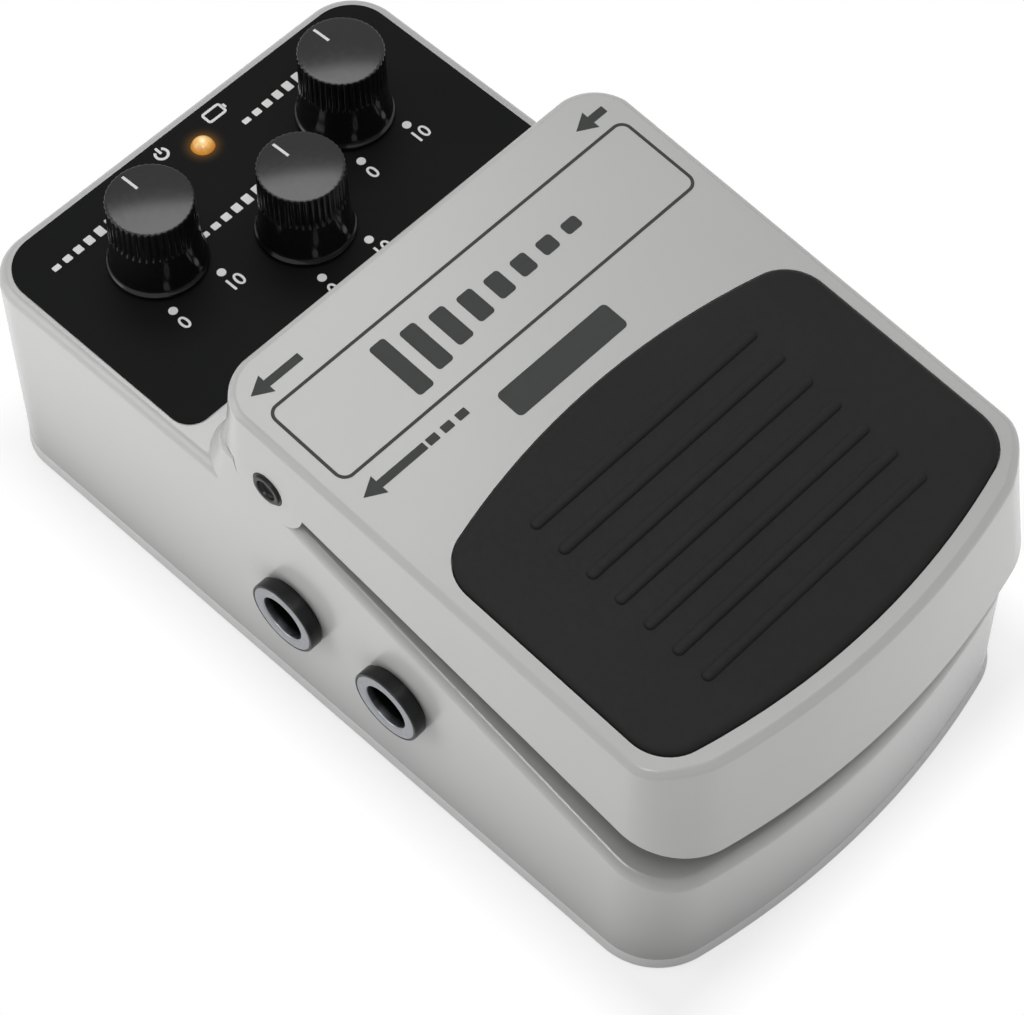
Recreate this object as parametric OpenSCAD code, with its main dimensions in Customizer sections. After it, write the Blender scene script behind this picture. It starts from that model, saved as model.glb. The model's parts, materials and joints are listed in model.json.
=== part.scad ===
// Compact delay pedal: a moulded case with a hinged treadle, three rotary controls and a lamp.
// Millimetres. +X is the player's right, +Y the knob end, +Z up, and z = 0 is the floor.

/* [Case] */
// Width between the side walls
case_w = 66.5; // [65:0.1:68]
// Length from the treadle's nose to the rear wall
overall_l = 122.9; // [121:0.1:125]
// Reach of the treadle's nose past the front of the case
nose_reach = 1.65; // [1:0.05:2.2]
// Radius of the bowed front
bow_r = 115; // [100:1:140]
// Radius of the front corners in plan
front_corner_r = 9; // [8:0.5:10]
// Radius of the rear corners in plan
rear_corner_r = 7.4; // [6.8:0.1:8]
// Wall thickness
wall = 2.2; // [2:0.1:2.4]
// Height of the control panel
panel_z = 35.8; // [35:0.1:37]
// Upper edge of the base plate
base_top = 1.85; // [1.8:0.05:2.1]
// Height of the feet below the base plate
foot_h = 0.3; // [0.2:0.05:0.35]
// Reach of the base plate past the side and front walls
base_reach = 0.4; // [0.2:0.05:0.6]
// Height of the sloping deck under the treadle, carried to y = 0
deck_z0 = 36.7; // [36.2:0.05:37]
// Rise of the deck per millimetre towards the rear
deck_slope = 0.29; // [0.28:0.002:0.3]
// Height of the crest that carries the hinge
crest_z = 42.7; // [42.4:0.1:42.9]

/* [Treadle] */
// Width of the treadle
treadle_w = 66.4; // [66:0.1:67]
// Height of the treadle's top face, carried to y = 0
tread_z0 = 51.59; // [51:0.01:52]
// Rise of the top face per millimetre towards the rear
tread_slope = 0.096; // [0.09:0.001:0.1]
// Rear edge of the treadle's top
tread_rear_y = 17.4; // [17:0.05:17.8]
// Height of the skirt's lower edge, carried to y = 0
skirt_z0 = 41.4; // [41.2:0.05:41.8]
// Rise of the skirt's lower edge per millimetre towards the rear
skirt_slope = 0.196; // [0.19:0.002:0.2]
// Thickness of the treadle's side walls
cheek_t = 2.4; // [2.2:0.1:2.4]
// Thickness of the treadle's top
tread_t = 3.2; // [3:0.1:3.4]
// Hinge axis, distance in front of the frame's centre
hinge_y = 7.55; // [7.4:0.05:7.7]
// Hinge axis, height
hinge_z = 42.65; // [42.5:0.05:42.8]
// Radius of the round cheek at the hinge
lobe_r = 5.75; // [5.6:0.05:5.9]
// Radius of the hinge pins
pin_r = 2.4; // [2.2:0.05:2.4]

/* [Rubber pad] */
// Half the width of the pad
pad_half_w = 30.25; // [29:0.05:30.5]
// Rear apex of the pad
pad_rear_y = -13.25; // [-14:0.05:-13]
// Front apex of the pad
pad_front_y = -56.5; // [-57:0.05:-55]
// Radius of the bowed front and rear edges
pad_bow_r = 102; // [90:1:120]
// Radius of the pad's corners
pad_corner_r = 6; // [4:0.5:7]
// Depth of the pad's recess
pad_depth = 1.5; // [1.2:0.1:1.6]
// Height of the pad above the treadle
pad_proud = 0.6; // [0.4:0.1:0.8]

/* [Controls] */
// Distance of the outer knobs from the centre line
knob_x = 16.3; // [15.8:0.1:16.8]
// Outer knobs, distance along the case
knob_outer_y = 45.4; // [44.8:0.1:46]
// Centre knob, distance along the case
knob_centre_y = 35.8; // [35.2:0.1:36.4]
// Height of a knob
knob_h = 12.5; // [12:0.1:13]
// Diameter of the fluted grip
knob_grip_d = 11; // [10.6:0.1:11.2]
// Diameter at the knob's skirt
knob_skirt_d = 13; // [12.6:0.1:13.2]
// Flutes round the grip
knob_flutes = 42; // [36:1:48]
// Travel of a control each way from the middle, in degrees
knob_travel = 150; // [140:5:150]
// Lamp, distance along the case
lamp_y = 54.7; // [54:0.1:55]
// Radius of the lamp
lamp_r = 1.5; // [1.4:0.1:1.6]

/* [Sockets] */
// Bore radius of a plug socket
socket_r = 3.25; // [3.2:0.01:3.3]
// Height of the socket axes
socket_z = 18.55; // [18.4:0.05:18.8]
// Rear sockets on both sides, distance along the case
socket_rear_y = 5; // [4.6:0.1:5.2]
// Front socket on the left side, distance along the case
socket_front_y = -12.9; // [-13.2:0.1:-12.6]
// Reach of a socket collar past the wall
collar_reach = 2.05; // [2:0.05:2.4]
// Outer radius of a socket collar
collar_r = 5.2; // [5:0.05:5.3]
// Height of the power inlet's axis
inlet_z = 19.5; // [19:0.1:20]

/* [Hidden] */
$fn = 64;
half_w = case_w / 2;
rear_y = overall_l / 2;
nose_y = -overall_l / 2;
front_y = nose_y + nose_reach;
deck_end_y = 4;
crest_front_y = 5.6;
crest_rear_y = 18.4;
crest_foot_y = 22.05;
crest_corner_r = 6;
overlay_t = 0.25;
overlay_half_w = 31.33;
overlay_front_y = 23.7;
overlay_rear_y = 59.54;
gap = 0.05;
cheek_x = treadle_w / 2 - cheek_t;
recess_x = cheek_x - 0.4;
recess_r = lobe_r + 0.35;
tread_front_corner_r = 9.6;
tread_rear_corner_r = 6.4;
nose_lean = 0.14;
tread_foot_y = 18.6;
tread_foot_z = 43.4;
boss_r = 2.6;
rear_boss_top = 21.5;
front_boss_top = 19.4;
screw_head_z = 0.35;
screw_head_h = 0.9;
screw_head_r = 2.8;
screw_shank_r = 1.25;
screw_l = 12.5;
screw_pilot_r = 1.3;
screw_hole_r = 1.6;
screw_well_r = 3;
screw_places = [[-26.5, 54.5], [26.5, 54.5], [-28.2, -22.2], [28.2, -22.2], [0, -55]];
foot_places = [[-24, 42], [24, 42], [-24, -42], [24, -42]];
foot_r = 5;
foot_sink = 0.9;
board_top = 12.2;
board_t = 1.6;
board_front_y = -17.2;
board_rear_y = 47;
board_half_w = 29.6;
board_posts = [[-26, 16], [26, 16], [-24, 44], [24, 44]];
board_post_r = 2.5;
board_pilot_r = 0.9;
board_hole_r = 1.2;
board_screw_lift = 1.3;
pitch = 2.54;
panel_board_z = 25.5;
panel_posts = [[-25.5, 29], [25.5, 29], [0, 47.5]];
panel_board_low = [-28.3, 25.6];
panel_board_high = [28.3, 57];
knob_places = [[-knob_x, knob_outer_y], [0, knob_centre_y], [knob_x, knob_outer_y]];
knob_base_z = panel_z + overlay_t + 0.3;
knob_top_z = panel_z + overlay_t + knob_h;
pointer_w = 0.5;
pointer_l = 2.96;
pointer_y = 1.92;
fit = 0.02;
pot_half = 5.5;
pot_top = panel_z - wall - 0.2;
pot_shaft_r = 3;
pot_hole_r = 3.7;
lamp_gap = 0.1;
lamp_reach = 1.1;
lamp_flange_r = 1.9;
lamp_flange_z = 29.6;
lamp_leg_x = 0.9;
lamp_leg_r = 0.25;
switch_y = -15;
switch_seat_z = 28;
switch_pad_z = 38.3;
switch_pad_r = 8;
switch_half = 6.5;
switch_h = 11.8;
switch_bush_r = 3.6;
switch_bush_reach = 2.3;
plunger_r = 2;
plunger_top = 42;
spring_x = 18;
spring_y = -16;
spring_foot_z = 30;
spring_seat_z = 38;
spring_seat_r = 4.6;
spring_stub_r = 2.2;
spring_stub_h = 2.5;
spring_roof_z = 45.6;
spring_out_r = 3.8;
spring_in_r = 2.8;
pin_boss_r = 4.4;
pin_boss_end = 18;
pin_face_x = half_w + 0.25;
pin_collar_x = 27.35;
pin_spring_r = 3.5;
pin_guide_r = 1.5;
pin_guide_x = 21;
pin_dish_r = 1.5;
pin_dish_d = 0.6;
pin_coil_r = 3.2;
pin_coil_bore_r = 1.8;
retainer_t = 1.5;
retainer_bore_r = 1.58;
jack_half = 6.2;
jack_back_x = 14;
jack_front_x = half_w - wall - 0.1;
bush_r = 4.5;
bush_back_x = 26;
jack_bore_r = 3.7;
inlet_nose_r = 4.1;
inlet_bore_r = 2.85;
inlet_pin_r = 1.05;
terminal_y = 6.35;
terminal_r = 2.8;
battery_size = [46.4, 26.5, 17.5];
battery_at = [-27.4, -51.5, base_top + 0.1];
bay_low = [-28.4, -52];
bay_high = [26.6, -24.6];
bay_corner_r = 2.4;
bay_floor_z = 15;
bay_roof_z = 60;

function deck_z(y) = deck_z0 + deck_slope * y;
function tread_z(y) = tread_z0 + tread_slope * y;
function skirt_z(y) = skirt_z0 + skirt_slope * y;

// Plan of a body with straight sides, a bowed front and round corners, all true arcs
module plan(w, front, rear, bow, rf, rr) {
    bow_c = front + bow;
    fillet_x = w - rf;
    fillet_y = bow_c - sqrt(pow(bow - rf, 2) - pow(fillet_x, 2));
    reach = 2 * bow / (bow_c - fillet_y);
    for (s = [-1, 1]) {
        translate([s * fillet_x, fillet_y]) circle(rf);
        translate([s * (w - rr), rear - rr]) circle(rr);
    }
    translate([-w, fillet_y]) square([2 * w, rear - rr - fillet_y]);
    translate([rr - w, 0]) square([2 * (w - rr), rear]);
    intersection() {
        translate([0, bow_c]) circle(bow, $fn = 256);
        polygon([[0, bow_c], [-fillet_x * reach, bow_c - 2 * bow], [fillet_x * reach, bow_c - 2 * bow]]);
    }
}

module case_plan(inset = 0) {
    plan(half_w - inset, front_y + inset, rear_y - inset, bow_r - inset,
        front_corner_r - inset, rear_corner_r - inset);
}

// A side profile, drawn as [y, z] points, carried across the width
module across(width, points) {
    rotate([90, 0, 90]) linear_extrude(width, center = true) polygon(points);
}

// A bar along X at [y, z], from x0 to x1
module bar_x(r, y, z, x0, x1) {
    translate([x0, y, z]) rotate([0, 90, 0]) cylinder(r = r, h = x1 - x0);
}

// A block between two opposite corners
module block(low, high) {
    translate(low) cube(high - low);
}

// A bare tube swept along a route, with flat ends
module tube(route, r, sides = 8) {
    n = len(route);
    function ahead(i) = route[min(i + 1, n - 1)] - route[max(i - 1, 0)];
    function unit(v) = v / norm(v);
    points = [for (i = [0:n - 1])
        let (t = unit(ahead(i)), u = unit(cross(t, [0.2, 0.3, 1])), v = cross(t, u))
        for (k = [0:sides - 1]) route[i] + r * (cos(360 * k / sides) * u + sin(360 * k / sides) * v)];
    walls = [for (i = [0:n - 2], k = [0:sides - 1], half = [0, 1])
        let (a = i * sides + k, b = i * sides + (k + 1) % sides)
        half == 0 ? [a, a + sides, b + sides] : [a, b + sides, b]];
    ends = [for (k = [1:sides - 2], last = [0, 1]) let (a = (n - 1) * sides)
        last == 0 ? [0, k, k + 1] : [a, a + k + 1, a + k]];
    polyhedron(points, concat(walls, ends));
}

// Walls, panel and deck, with a crest over the hinge that slopes down to the panel behind it
module housing_outer() {
    intersection() {
        linear_extrude(99) case_plan();
        across(2 * case_w, [[rear_y + 9, base_top], [rear_y + 9, panel_z], [deck_end_y, panel_z],
            [deck_end_y, deck_z(deck_end_y)], [nose_y - 9, deck_z(nose_y - 9)], [nose_y - 9, base_top]]);
    }
    intersection() {
        linear_extrude(99) plan(half_w, front_y, crest_foot_y, bow_r, front_corner_r, crest_corner_r);
        across(2 * case_w, [[crest_foot_y, panel_z - 9], [crest_foot_y, panel_z], [crest_rear_y, crest_z],
            [crest_front_y, crest_z], [deck_end_y, deck_z(deck_end_y)], [deck_end_y, panel_z - 9]]);
    }
}

module housing_hollow() {
    intersection() {
        linear_extrude(99) case_plan(wall);
        across(2 * case_w, [[rear_y, -1], [rear_y, panel_z - wall], [crest_foot_y - 1.2, panel_z - wall],
            [crest_rear_y - 1.5, crest_z - wall], [crest_front_y + 1.4, crest_z - wall],
            [deck_end_y + 1.5, deck_z(deck_end_y + 1.5) - wall - 0.1],
            [nose_y, deck_z(nose_y) - wall - 0.1], [nose_y, -1]]);
    }
}

module housing() {
    color("gainsboro") difference() {
        union() {
            difference() {
                housing_outer();
                housing_hollow();
            }
            for (p = screw_places)
                translate([p[0], p[1], base_top])
                    cylinder(r = boss_r, h = (p[1] > 0 ? rear_boss_top : front_boss_top) - base_top);
            for (p = screw_places) screw_web(p);
            for (p = panel_posts)
                translate([p[0], p[1], panel_board_z + board_t])
                    cylinder(r = boss_r, h = panel_z - wall - panel_board_z - board_t + 0.2);
            translate([0, switch_y, switch_seat_z])
                cylinder(r = switch_pad_r, h = switch_pad_z - switch_seat_z);
            for (s = [-1, 1]) {
                translate([s * spring_x, spring_y, spring_foot_z])
                    cylinder(r = spring_seat_r, h = spring_seat_z - spring_foot_z);
                translate([s * spring_x, spring_y, spring_foot_z])
                    cylinder(r = spring_stub_r, h = spring_seat_z + spring_stub_h - spring_foot_z);
                pin_boss(s);
            }
        }
        for (s = [-1, 1]) {
            bar_x(recess_r, hinge_y, hinge_z, s > 0 ? recess_x : -99, s > 0 ? 99 : -recess_x);
            bar_x(pin_r + gap, hinge_y, hinge_z, s > 0 ? 20 : -40, s > 0 ? 40 : -20);
            bar_x(pin_spring_r, hinge_y, hinge_z, s > 0 ? pin_boss_end - 1 : -pin_collar_x - gap,
                s > 0 ? pin_collar_x + gap : 1 - pin_boss_end);
        }
        for (p = screw_places)
            translate([p[0], p[1], 0]) cylinder(r = screw_pilot_r, h = 14);
        for (p = panel_posts)
            translate([p[0], p[1], panel_board_z]) cylinder(r = board_pilot_r, h = 6);
        bay_opening();
        translate([0, switch_y, 20]) cylinder(r = switch_bush_r + gap, h = 30);
        for (p = knob_places) translate([p[0], p[1], 30]) cylinder(r = pot_hole_r, h = 9);
        translate([0, lamp_y, 30]) cylinder(r = lamp_r + lamp_gap, h = 9);
        for (j = [[-1, socket_rear_y], [-1, socket_front_y], [1, socket_rear_y]])
            bar_x(bush_r + gap, j[1], socket_z, j[0] < 0 ? -40 : 28, j[0] < 0 ? -28 : 40);
        translate([0, rear_y + 1, inlet_z]) rotate([90, 0, 0]) cylinder(r = inlet_nose_r + 0.1, h = 6);
    }
}

// The opening in the deck that the battery passes through, with round corners
module bay_opening() {
    r = bay_corner_r;
    block([bay_low[0] + r, bay_low[1], bay_floor_z], [bay_high[0] - r, bay_high[1], bay_roof_z]);
    block([bay_low[0], bay_low[1] + r, bay_floor_z], [bay_high[0], bay_high[1] - r, bay_roof_z]);
    for (x = [bay_low[0] + r, bay_high[0] - r], y = [bay_low[1] + r, bay_high[1] - r])
        translate([x, y, bay_floor_z]) cylinder(r = r, h = bay_roof_z - bay_floor_z);
}

// Ties a screw boss to the wall beside it
module screw_web(p) {
    if (p[0] == 0) block([-1, front_y + 1, base_top], [1, p[1], front_boss_top]);
    if (abs(p[0]) > 27) block([p[0] < 0 ? -half_w + 1 : p[0], p[1] - 1, base_top],
        [p[0] < 0 ? p[0] : half_w - 1, p[1] + 1, front_boss_top]);
    if (p[1] > 0) block([p[0] < 0 ? p[0] - 5 : p[0], p[1] - 1, base_top],
        [p[0] < 0 ? p[0] : p[0] + 5, p[1] + 1, rear_boss_top]);
}

// Carries a hinge pin on the crest, and closes the case behind the round cheek
module pin_boss(s) {
    low_x = s > 0 ? pin_boss_end : -recess_x;
    back_x = s > 0 ? recess_x - wall : -recess_x;
    bar_x(pin_boss_r, hinge_y, hinge_z, low_x, low_x + recess_x - pin_boss_end);
    intersection() {
        bar_x(recess_r + wall / 2, hinge_y, hinge_z, back_x, back_x + wall);
        block([back_x, crest_front_y, panel_z - 9], [back_x + wall, hinge_y + 9, crest_z - 1]);
    }
}

module base_plate() {
    color("lightgray") difference() {
        union() {
            translate([0, 0, foot_h]) linear_extrude(base_top - foot_h)
                plan(half_w + base_reach, front_y - base_reach, rear_y, bow_r + base_reach,
                    front_corner_r + base_reach, rear_corner_r + base_reach);
            for (p = board_posts)
                translate([p[0], p[1], 1]) cylinder(r = board_post_r, h = board_top - board_t - 1);
            block([-24, bay_high[1] + 0.2, 1], [24, bay_high[1] + 1.4, 11]);
            block([-24, bay_low[1] - 1.2, 1], [-6, bay_low[1], 9]);
            block([6, bay_low[1] - 1.2, 1], [24, bay_low[1], 9]);
        }
        for (p = screw_places) {
            translate([p[0], p[1], 0]) cylinder(r = screw_hole_r, h = 9);
            translate([p[0], p[1], 0]) cylinder(r = screw_well_r, h = screw_head_z + screw_head_h);
        }
        for (p = foot_places) translate([p[0], p[1], 0]) cylinder(r = foot_r + gap, h = foot_h + foot_sink);
        for (p = board_posts) translate([p[0], p[1], 4]) cylinder(r = board_pilot_r, h = 9);
    }
}

// A pan-head screw whose head stands at z = 0 and whose shank goes up
module screw_up(head_r, head_h, shank_r, length) {
    difference() {
        cylinder(r = head_r, h = head_h);
        for (a = [0, 90]) rotate(a) translate([-head_r * 0.6, -0.3, -1])
            cube([head_r * 1.2, 0.6, 1 + head_h * 0.5]);
    }
    cylinder(r = shank_r, h = length);
}

// A screw for the boards
module board_screw(length) {
    screw_up(2.2, 1.25, 0.88, length);
}

module base_screws() {
    color("silver") for (p = screw_places)
        translate([p[0], p[1], screw_head_z]) screw_up(screw_head_r, screw_head_h, screw_shank_r, screw_l);
}

module rubber_feet() {
    color("dimgray") for (p = foot_places)
        translate([p[0], p[1], 0]) cylinder(r = foot_r, h = foot_h + foot_sink);
}

module panel_overlay() {
    rear_r = 5.7;
    front_r = 3;
    color("black") difference() {
        translate([0, 0, panel_z]) linear_extrude(overlay_t) {
            for (s = [-1, 1]) {
                translate([s * (overlay_half_w - rear_r), overlay_rear_y - rear_r]) circle(rear_r);
                translate([s * (overlay_half_w - front_r), overlay_front_y + front_r]) circle(front_r);
            }
            translate([-overlay_half_w, overlay_front_y + front_r])
                square([2 * overlay_half_w, overlay_rear_y - overlay_front_y - front_r - rear_r]);
            translate([front_r - overlay_half_w, overlay_front_y])
                square([2 * (overlay_half_w - front_r), front_r + 1]);
            translate([rear_r - overlay_half_w, overlay_rear_y - rear_r - 1])
                square([2 * (overlay_half_w - rear_r), rear_r + 1]);
        }
        for (p = knob_places) translate([p[0], p[1], 30]) cylinder(r = pot_hole_r, h = 9);
        translate([0, lamp_y, 30]) cylinder(r = lamp_r + lamp_gap, h = 9);
    }
}

// A fluted control knob over a plain tapering skirt
module knob(i) {
    grip_r = knob_grip_d / 2;
    skirt_r = knob_skirt_d / 2;
    grip_h = 5.4;
    flute = 0.22;
    steps = knob_flutes * 4;
    color("black") translate([knob_places[i][0], knob_places[i][1], 0]) difference() {
        union() {
            translate([0, 0, knob_base_z]) cylinder(r = skirt_r, h = 0.9);
            translate([0, 0, knob_base_z + 0.9])
                cylinder(r1 = skirt_r - 0.35, r2 = grip_r + 0.12,
                    h = knob_top_z - grip_h - knob_base_z - 0.9);
            translate([0, 0, knob_top_z - grip_h]) linear_extrude(grip_h - 0.3) polygon(
                [for (k = [0:steps - 1])
                    let (a = 360 * k / steps, r = grip_r - flute * (1 - cos(a * knob_flutes)))
                        r * [cos(a), sin(a)]]);
            translate([0, 0, knob_top_z - 0.4]) cylinder(r = grip_r - 0.4, h = 0.4);
        }
        translate([0, 0, knob_base_z - 1]) cylinder(r = pot_shaft_r + 0.02, h = 10);
        translate([0, 0, knob_base_z - 1]) cylinder(r = skirt_r - 1.6, h = 3);
        pointer_slot(knob_top_z - 0.4);
    }
}

module pointer_slot(z) {
    block([-pointer_w / 2 - fit, pointer_y - fit, z],
        [pointer_w / 2 + fit, pointer_y + pointer_l + fit, z + 1]);
}

module pointer(i) {
    color("white") translate([knob_places[i][0], knob_places[i][1], 0])
        block([-pointer_w / 2, pointer_y, knob_top_z - 0.38],
            [pointer_w / 2, pointer_y + pointer_l, knob_top_z]);
}

module pot_shaft(i) {
    color("silver") translate([knob_places[i][0], knob_places[i][1], 0])
        translate([0, 0, pot_top - 3]) cylinder(r = pot_shaft_r, h = knob_base_z + 8.9 - pot_top + 3);
}

module pot_body(i) {
    low_z = panel_board_z + board_t;
    color("slategray") translate([knob_places[i][0], knob_places[i][1], 0]) difference() {
        union() {
            block([-pot_half, -pot_half, low_z], [pot_half, pot_half, pot_top]);
            translate([0, 0, pot_top - 1]) cylinder(r = 3.6, h = 2.6);
        }
        translate([0, 0, pot_top - 3.1]) cylinder(r = pot_shaft_r + gap, h = 9);
    }
}

module power_lamp() {
    tip_z = panel_z + overlay_t + lamp_reach;
    stem_z = lamp_flange_z + 0.8;
    color("orange") translate([0, lamp_y, 0]) {
        translate([0, 0, stem_z]) cylinder(r = lamp_r, h = tip_z - lamp_r - stem_z);
        translate([0, 0, tip_z - lamp_r]) intersection() {
            sphere(lamp_r);
            translate([0, 0, 2]) cube(4, center = true);
        }
        translate([0, 0, lamp_flange_z]) cylinder(r = lamp_flange_r, h = 1);
        for (s = [-1, 1]) translate([s * lamp_leg_x, 0, panel_board_z - 1]) cylinder(r = lamp_leg_r, h = 5);
    }
}

module panel_board() {
    color("darkgreen") difference() {
        block([panel_board_low[0], panel_board_low[1], panel_board_z],
            [panel_board_high[0], panel_board_high[1], panel_board_z + board_t]);
        for (p = panel_posts) translate([p[0], p[1], 20]) cylinder(r = board_hole_r, h = 9);
        for (s = [-1, 1]) translate([s * lamp_leg_x, lamp_y, 20]) cylinder(r = lamp_leg_r + gap, h = 9);
    }
}

module panel_board_screws() {
    color("silver") for (p = panel_posts)
        translate([p[0], p[1], panel_board_z - board_screw_lift]) board_screw(6.5);
}

module main_board() {
    color("darkgreen") difference() {
        union() {
            block([-board_half_w, board_front_y, board_top - board_t],
                [board_half_w, board_rear_y, board_top]);
            block([-9, board_rear_y - 1, board_top - board_t], [9, rear_y - wall - 0.6, board_top]);
        }
        for (p = board_posts) translate([p[0], p[1], 9]) cylinder(r = board_hole_r, h = 9);
    }
}

module main_board_screws() {
    color("silver") for (p = board_posts)
        translate([p[0], p[1], board_top + board_screw_lift]) mirror([0, 0, 1]) board_screw(7);
}

module board_header() {
    color("black") {
        block([-4 * pitch, 41.5, board_top + 0.02], [4 * pitch, 44, 15]);
        block([-4 * pitch, 41.5, 22.6], [4 * pitch, 44, panel_board_z - 0.02]);
        for (i = [-3.5:3.5]) block([i * pitch - 0.3, 42.4, 14], [i * pitch + 0.3, 43, 23]);
    }
}

// A chip with two rows of legs
module chip(at, size) {
    translate([at[0], at[1], board_top]) {
        translate([-size[0] / 2, -size[1] / 2, 0.5]) cube([size[0], size[1], 2.6]);
        for (s = [-1, 1], x = [-size[0] / 2 + 1.4 : pitch : size[0] / 2 - 1])
            translate([x - 0.25, s * size[1] / 2 - 0.4, 0.02]) cube([0.5, 0.8, 1.6]);
    }
}

module delay_chips() {
    color("dimgray") {
        chip([0, 20], [20.3, 6.4]);
        chip([0, 31], [10.1, 6.4]);
        chip([14, 31], [10.1, 6.4]);
    }
}

module capacitors() {
    color("navy") for (c = [[-14, 31, 2.5, 10], [-20, 31, 2.5, 10], [21, 22, 3.1, 11], [-21, 22, 3.1, 11],
            [17, 38, 2, 6], [-9, 38, 2, 6], [9, 10, 2.5, 8]])
        translate([c[0], c[1], board_top + 0.02]) cylinder(r = c[2], h = c[3]);
}

module tread_plan(inset = 0) {
    plan(treadle_w / 2 - inset, nose_y + inset, tread_foot_y + (inset > 0 ? 9 : 0), bow_r - inset,
        tread_front_corner_r - inset, tread_rear_corner_r - inset);
}

// The nose leans out downwards, so its bowed face is part of a wide cone
module nose_cone(inset = 0) {
    low = 20;
    high = 60;
    lip_z = skirt_z(nose_y);
    translate([0, nose_y + bow_r, low]) cylinder(r1 = bow_r - inset + nose_lean * (lip_z - low),
        r2 = bow_r - inset - nose_lean * (high - lip_z), h = high - low, $fn = 256);
}

module tread_outer() {
    intersection() {
        linear_extrude(99) tread_plan();
        nose_cone();
        union() {
            across(2 * case_w, [[nose_y - 9, skirt_z(nose_y - 9)], [2, skirt_z(2)],
                [hinge_y, hinge_z], [hinge_y + lobe_r - 0.3, tread_foot_z], [tread_foot_y, tread_foot_z],
                [tread_rear_y, tread_z(tread_rear_y)], [nose_y - 9, tread_z(nose_y - 9)]]);
            bar_x(lobe_r, hinge_y, hinge_z, -half_w - 9, half_w + 9);
        }
    }
}

module tread_hollow() {
    floor_z = hinge_z + 1.55;
    inner_foot_y = tread_foot_y - 3.4;
    inner_top_y = tread_rear_y - 3;
    intersection() {
        linear_extrude(99) tread_plan(cheek_t);
        nose_cone(cheek_t);
        across(2 * case_w, [[nose_y - 9, 0], [nose_y - 9, tread_z(nose_y - 9) - tread_t],
            [inner_top_y, tread_z(inner_top_y) - tread_t], [inner_foot_y, floor_z],
            [tread_foot_y + 9, floor_z], [tread_foot_y + 9, 0]]);
    }
}

module pad_plan(inset = 0) {
    w = pad_half_w - inset;
    rc = pad_corner_r - inset;
    bow = pad_bow_r - inset;
    mid = (pad_rear_y + pad_front_y) / 2;
    bow_c = (pad_rear_y - pad_front_y) / 2 - pad_bow_r;
    fillet_y = bow_c + sqrt(pow(bow - rc, 2) - pow(w - rc, 2));
    reach = 2 * bow / (fillet_y - bow_c);
    translate([0, mid]) for (m = [0, 1]) mirror([0, m, 0]) {
        for (s = [-1, 1]) translate([s * (w - rc), fillet_y]) circle(rc);
        translate([-w, -0.1]) square([2 * w, fillet_y + 0.1]);
        intersection() {
            translate([0, bow_c]) circle(bow, $fn = 256);
            polygon([[0, bow_c], [-(w - rc) * reach, bow_c + 2 * bow], [(w - rc) * reach, bow_c + 2 * bow]]);
            translate([-w, -0.1]) square(2 * w);
        }
    }
}

// The slab between two heights measured from the treadle's sloping top
module tread_slab(below, above) {
    across(2 * case_w, [[nose_y, tread_z(nose_y) - below], [tread_rear_y, tread_z(tread_rear_y) - below],
        [tread_rear_y, tread_z(tread_rear_y) + above], [nose_y, tread_z(nose_y) + above]]);
}

module treadle() {
    color("gainsboro") difference() {
        union() {
            difference() {
                tread_outer();
                tread_hollow();
            }
            translate([0, switch_y, plunger_top + 0.08])
                cylinder(r = 3, h = tread_z(switch_y) - tread_t - plunger_top + 1);
            for (s = [-1, 1]) translate([s * spring_x, spring_y, 0]) {
                translate([0, 0, spring_roof_z]) cylinder(r = spring_seat_r, h = 2.2);
                translate([0, 0, spring_roof_z - 2]) cylinder(r = spring_stub_r, h = 4);
            }
        }
        intersection() {
            linear_extrude(99) pad_plan();
            tread_slab(pad_depth, 9);
        }
        bar_x(pin_r + gap, hinge_y, hinge_z, -40, 40);
    }
}

module treadle_pad() {
    color([0.16, 0.16, 0.16]) intersection() {
        linear_extrude(99) pad_plan(0.15);
        tread_slab(pad_depth, pad_proud);
    }
}

// A stepped hinge pin: dished head, retaining collar and spring guide
module hinge_pin(s) {
    color("black") mirror([s > 0 ? 0 : 1, 0, 0]) difference() {
        union() {
            bar_x(pin_r, hinge_y, hinge_z, pin_collar_x - 0.5, pin_face_x - 0.3);
            bar_x(pin_r - 0.3, hinge_y, hinge_z, pin_face_x - 1, pin_face_x);
            bar_x(pin_spring_r - 0.1, hinge_y, hinge_z, pin_collar_x - 1.2, pin_collar_x);
            bar_x(pin_guide_r, hinge_y, hinge_z, pin_guide_x, pin_collar_x);
        }
        bar_x(pin_dish_r, hinge_y, hinge_z, pin_face_x - pin_dish_d, pin_face_x + 1);
    }
}

module pin_spring(s) {
    color("silver") mirror([s > 0 ? 0 : 1, 0, 0]) difference() {
        bar_x(pin_coil_r, hinge_y, hinge_z, pin_boss_end + retainer_t + gap, pin_collar_x - 1.25);
        bar_x(pin_coil_bore_r, hinge_y, hinge_z, 10, 40);
    }
}

module pin_retainer(s) {
    color("dimgray") mirror([s > 0 ? 0 : 1, 0, 0]) difference() {
        bar_x(pin_spring_r - 0.02, hinge_y, hinge_z, pin_boss_end, pin_boss_end + retainer_t);
        bar_x(retainer_bore_r, hinge_y, hinge_z, 10, 40);
    }
}

module footswitch_body() {
    color("dimgray") translate([0, switch_y, 0]) difference() {
        union() {
            block([-switch_half, -switch_half, switch_seat_z - gap - switch_h],
                [switch_half, switch_half, switch_seat_z - gap]);
            translate([0, 0, switch_seat_z - 1])
                cylinder(r = switch_bush_r, h = switch_pad_z + switch_bush_reach - switch_seat_z + 1);
        }
        translate([0, 0, 26]) cylinder(r = plunger_r + gap, h = 20);
    }
}

module footswitch_nut() {
    color("silver") translate([0, switch_y, switch_pad_z + 0.02]) difference() {
        cylinder(r = 5.6, h = 1.9, $fn = 6);
        translate([0, 0, -1]) cylinder(r = switch_bush_r + 0.02, h = 4);
    }
}

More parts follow.
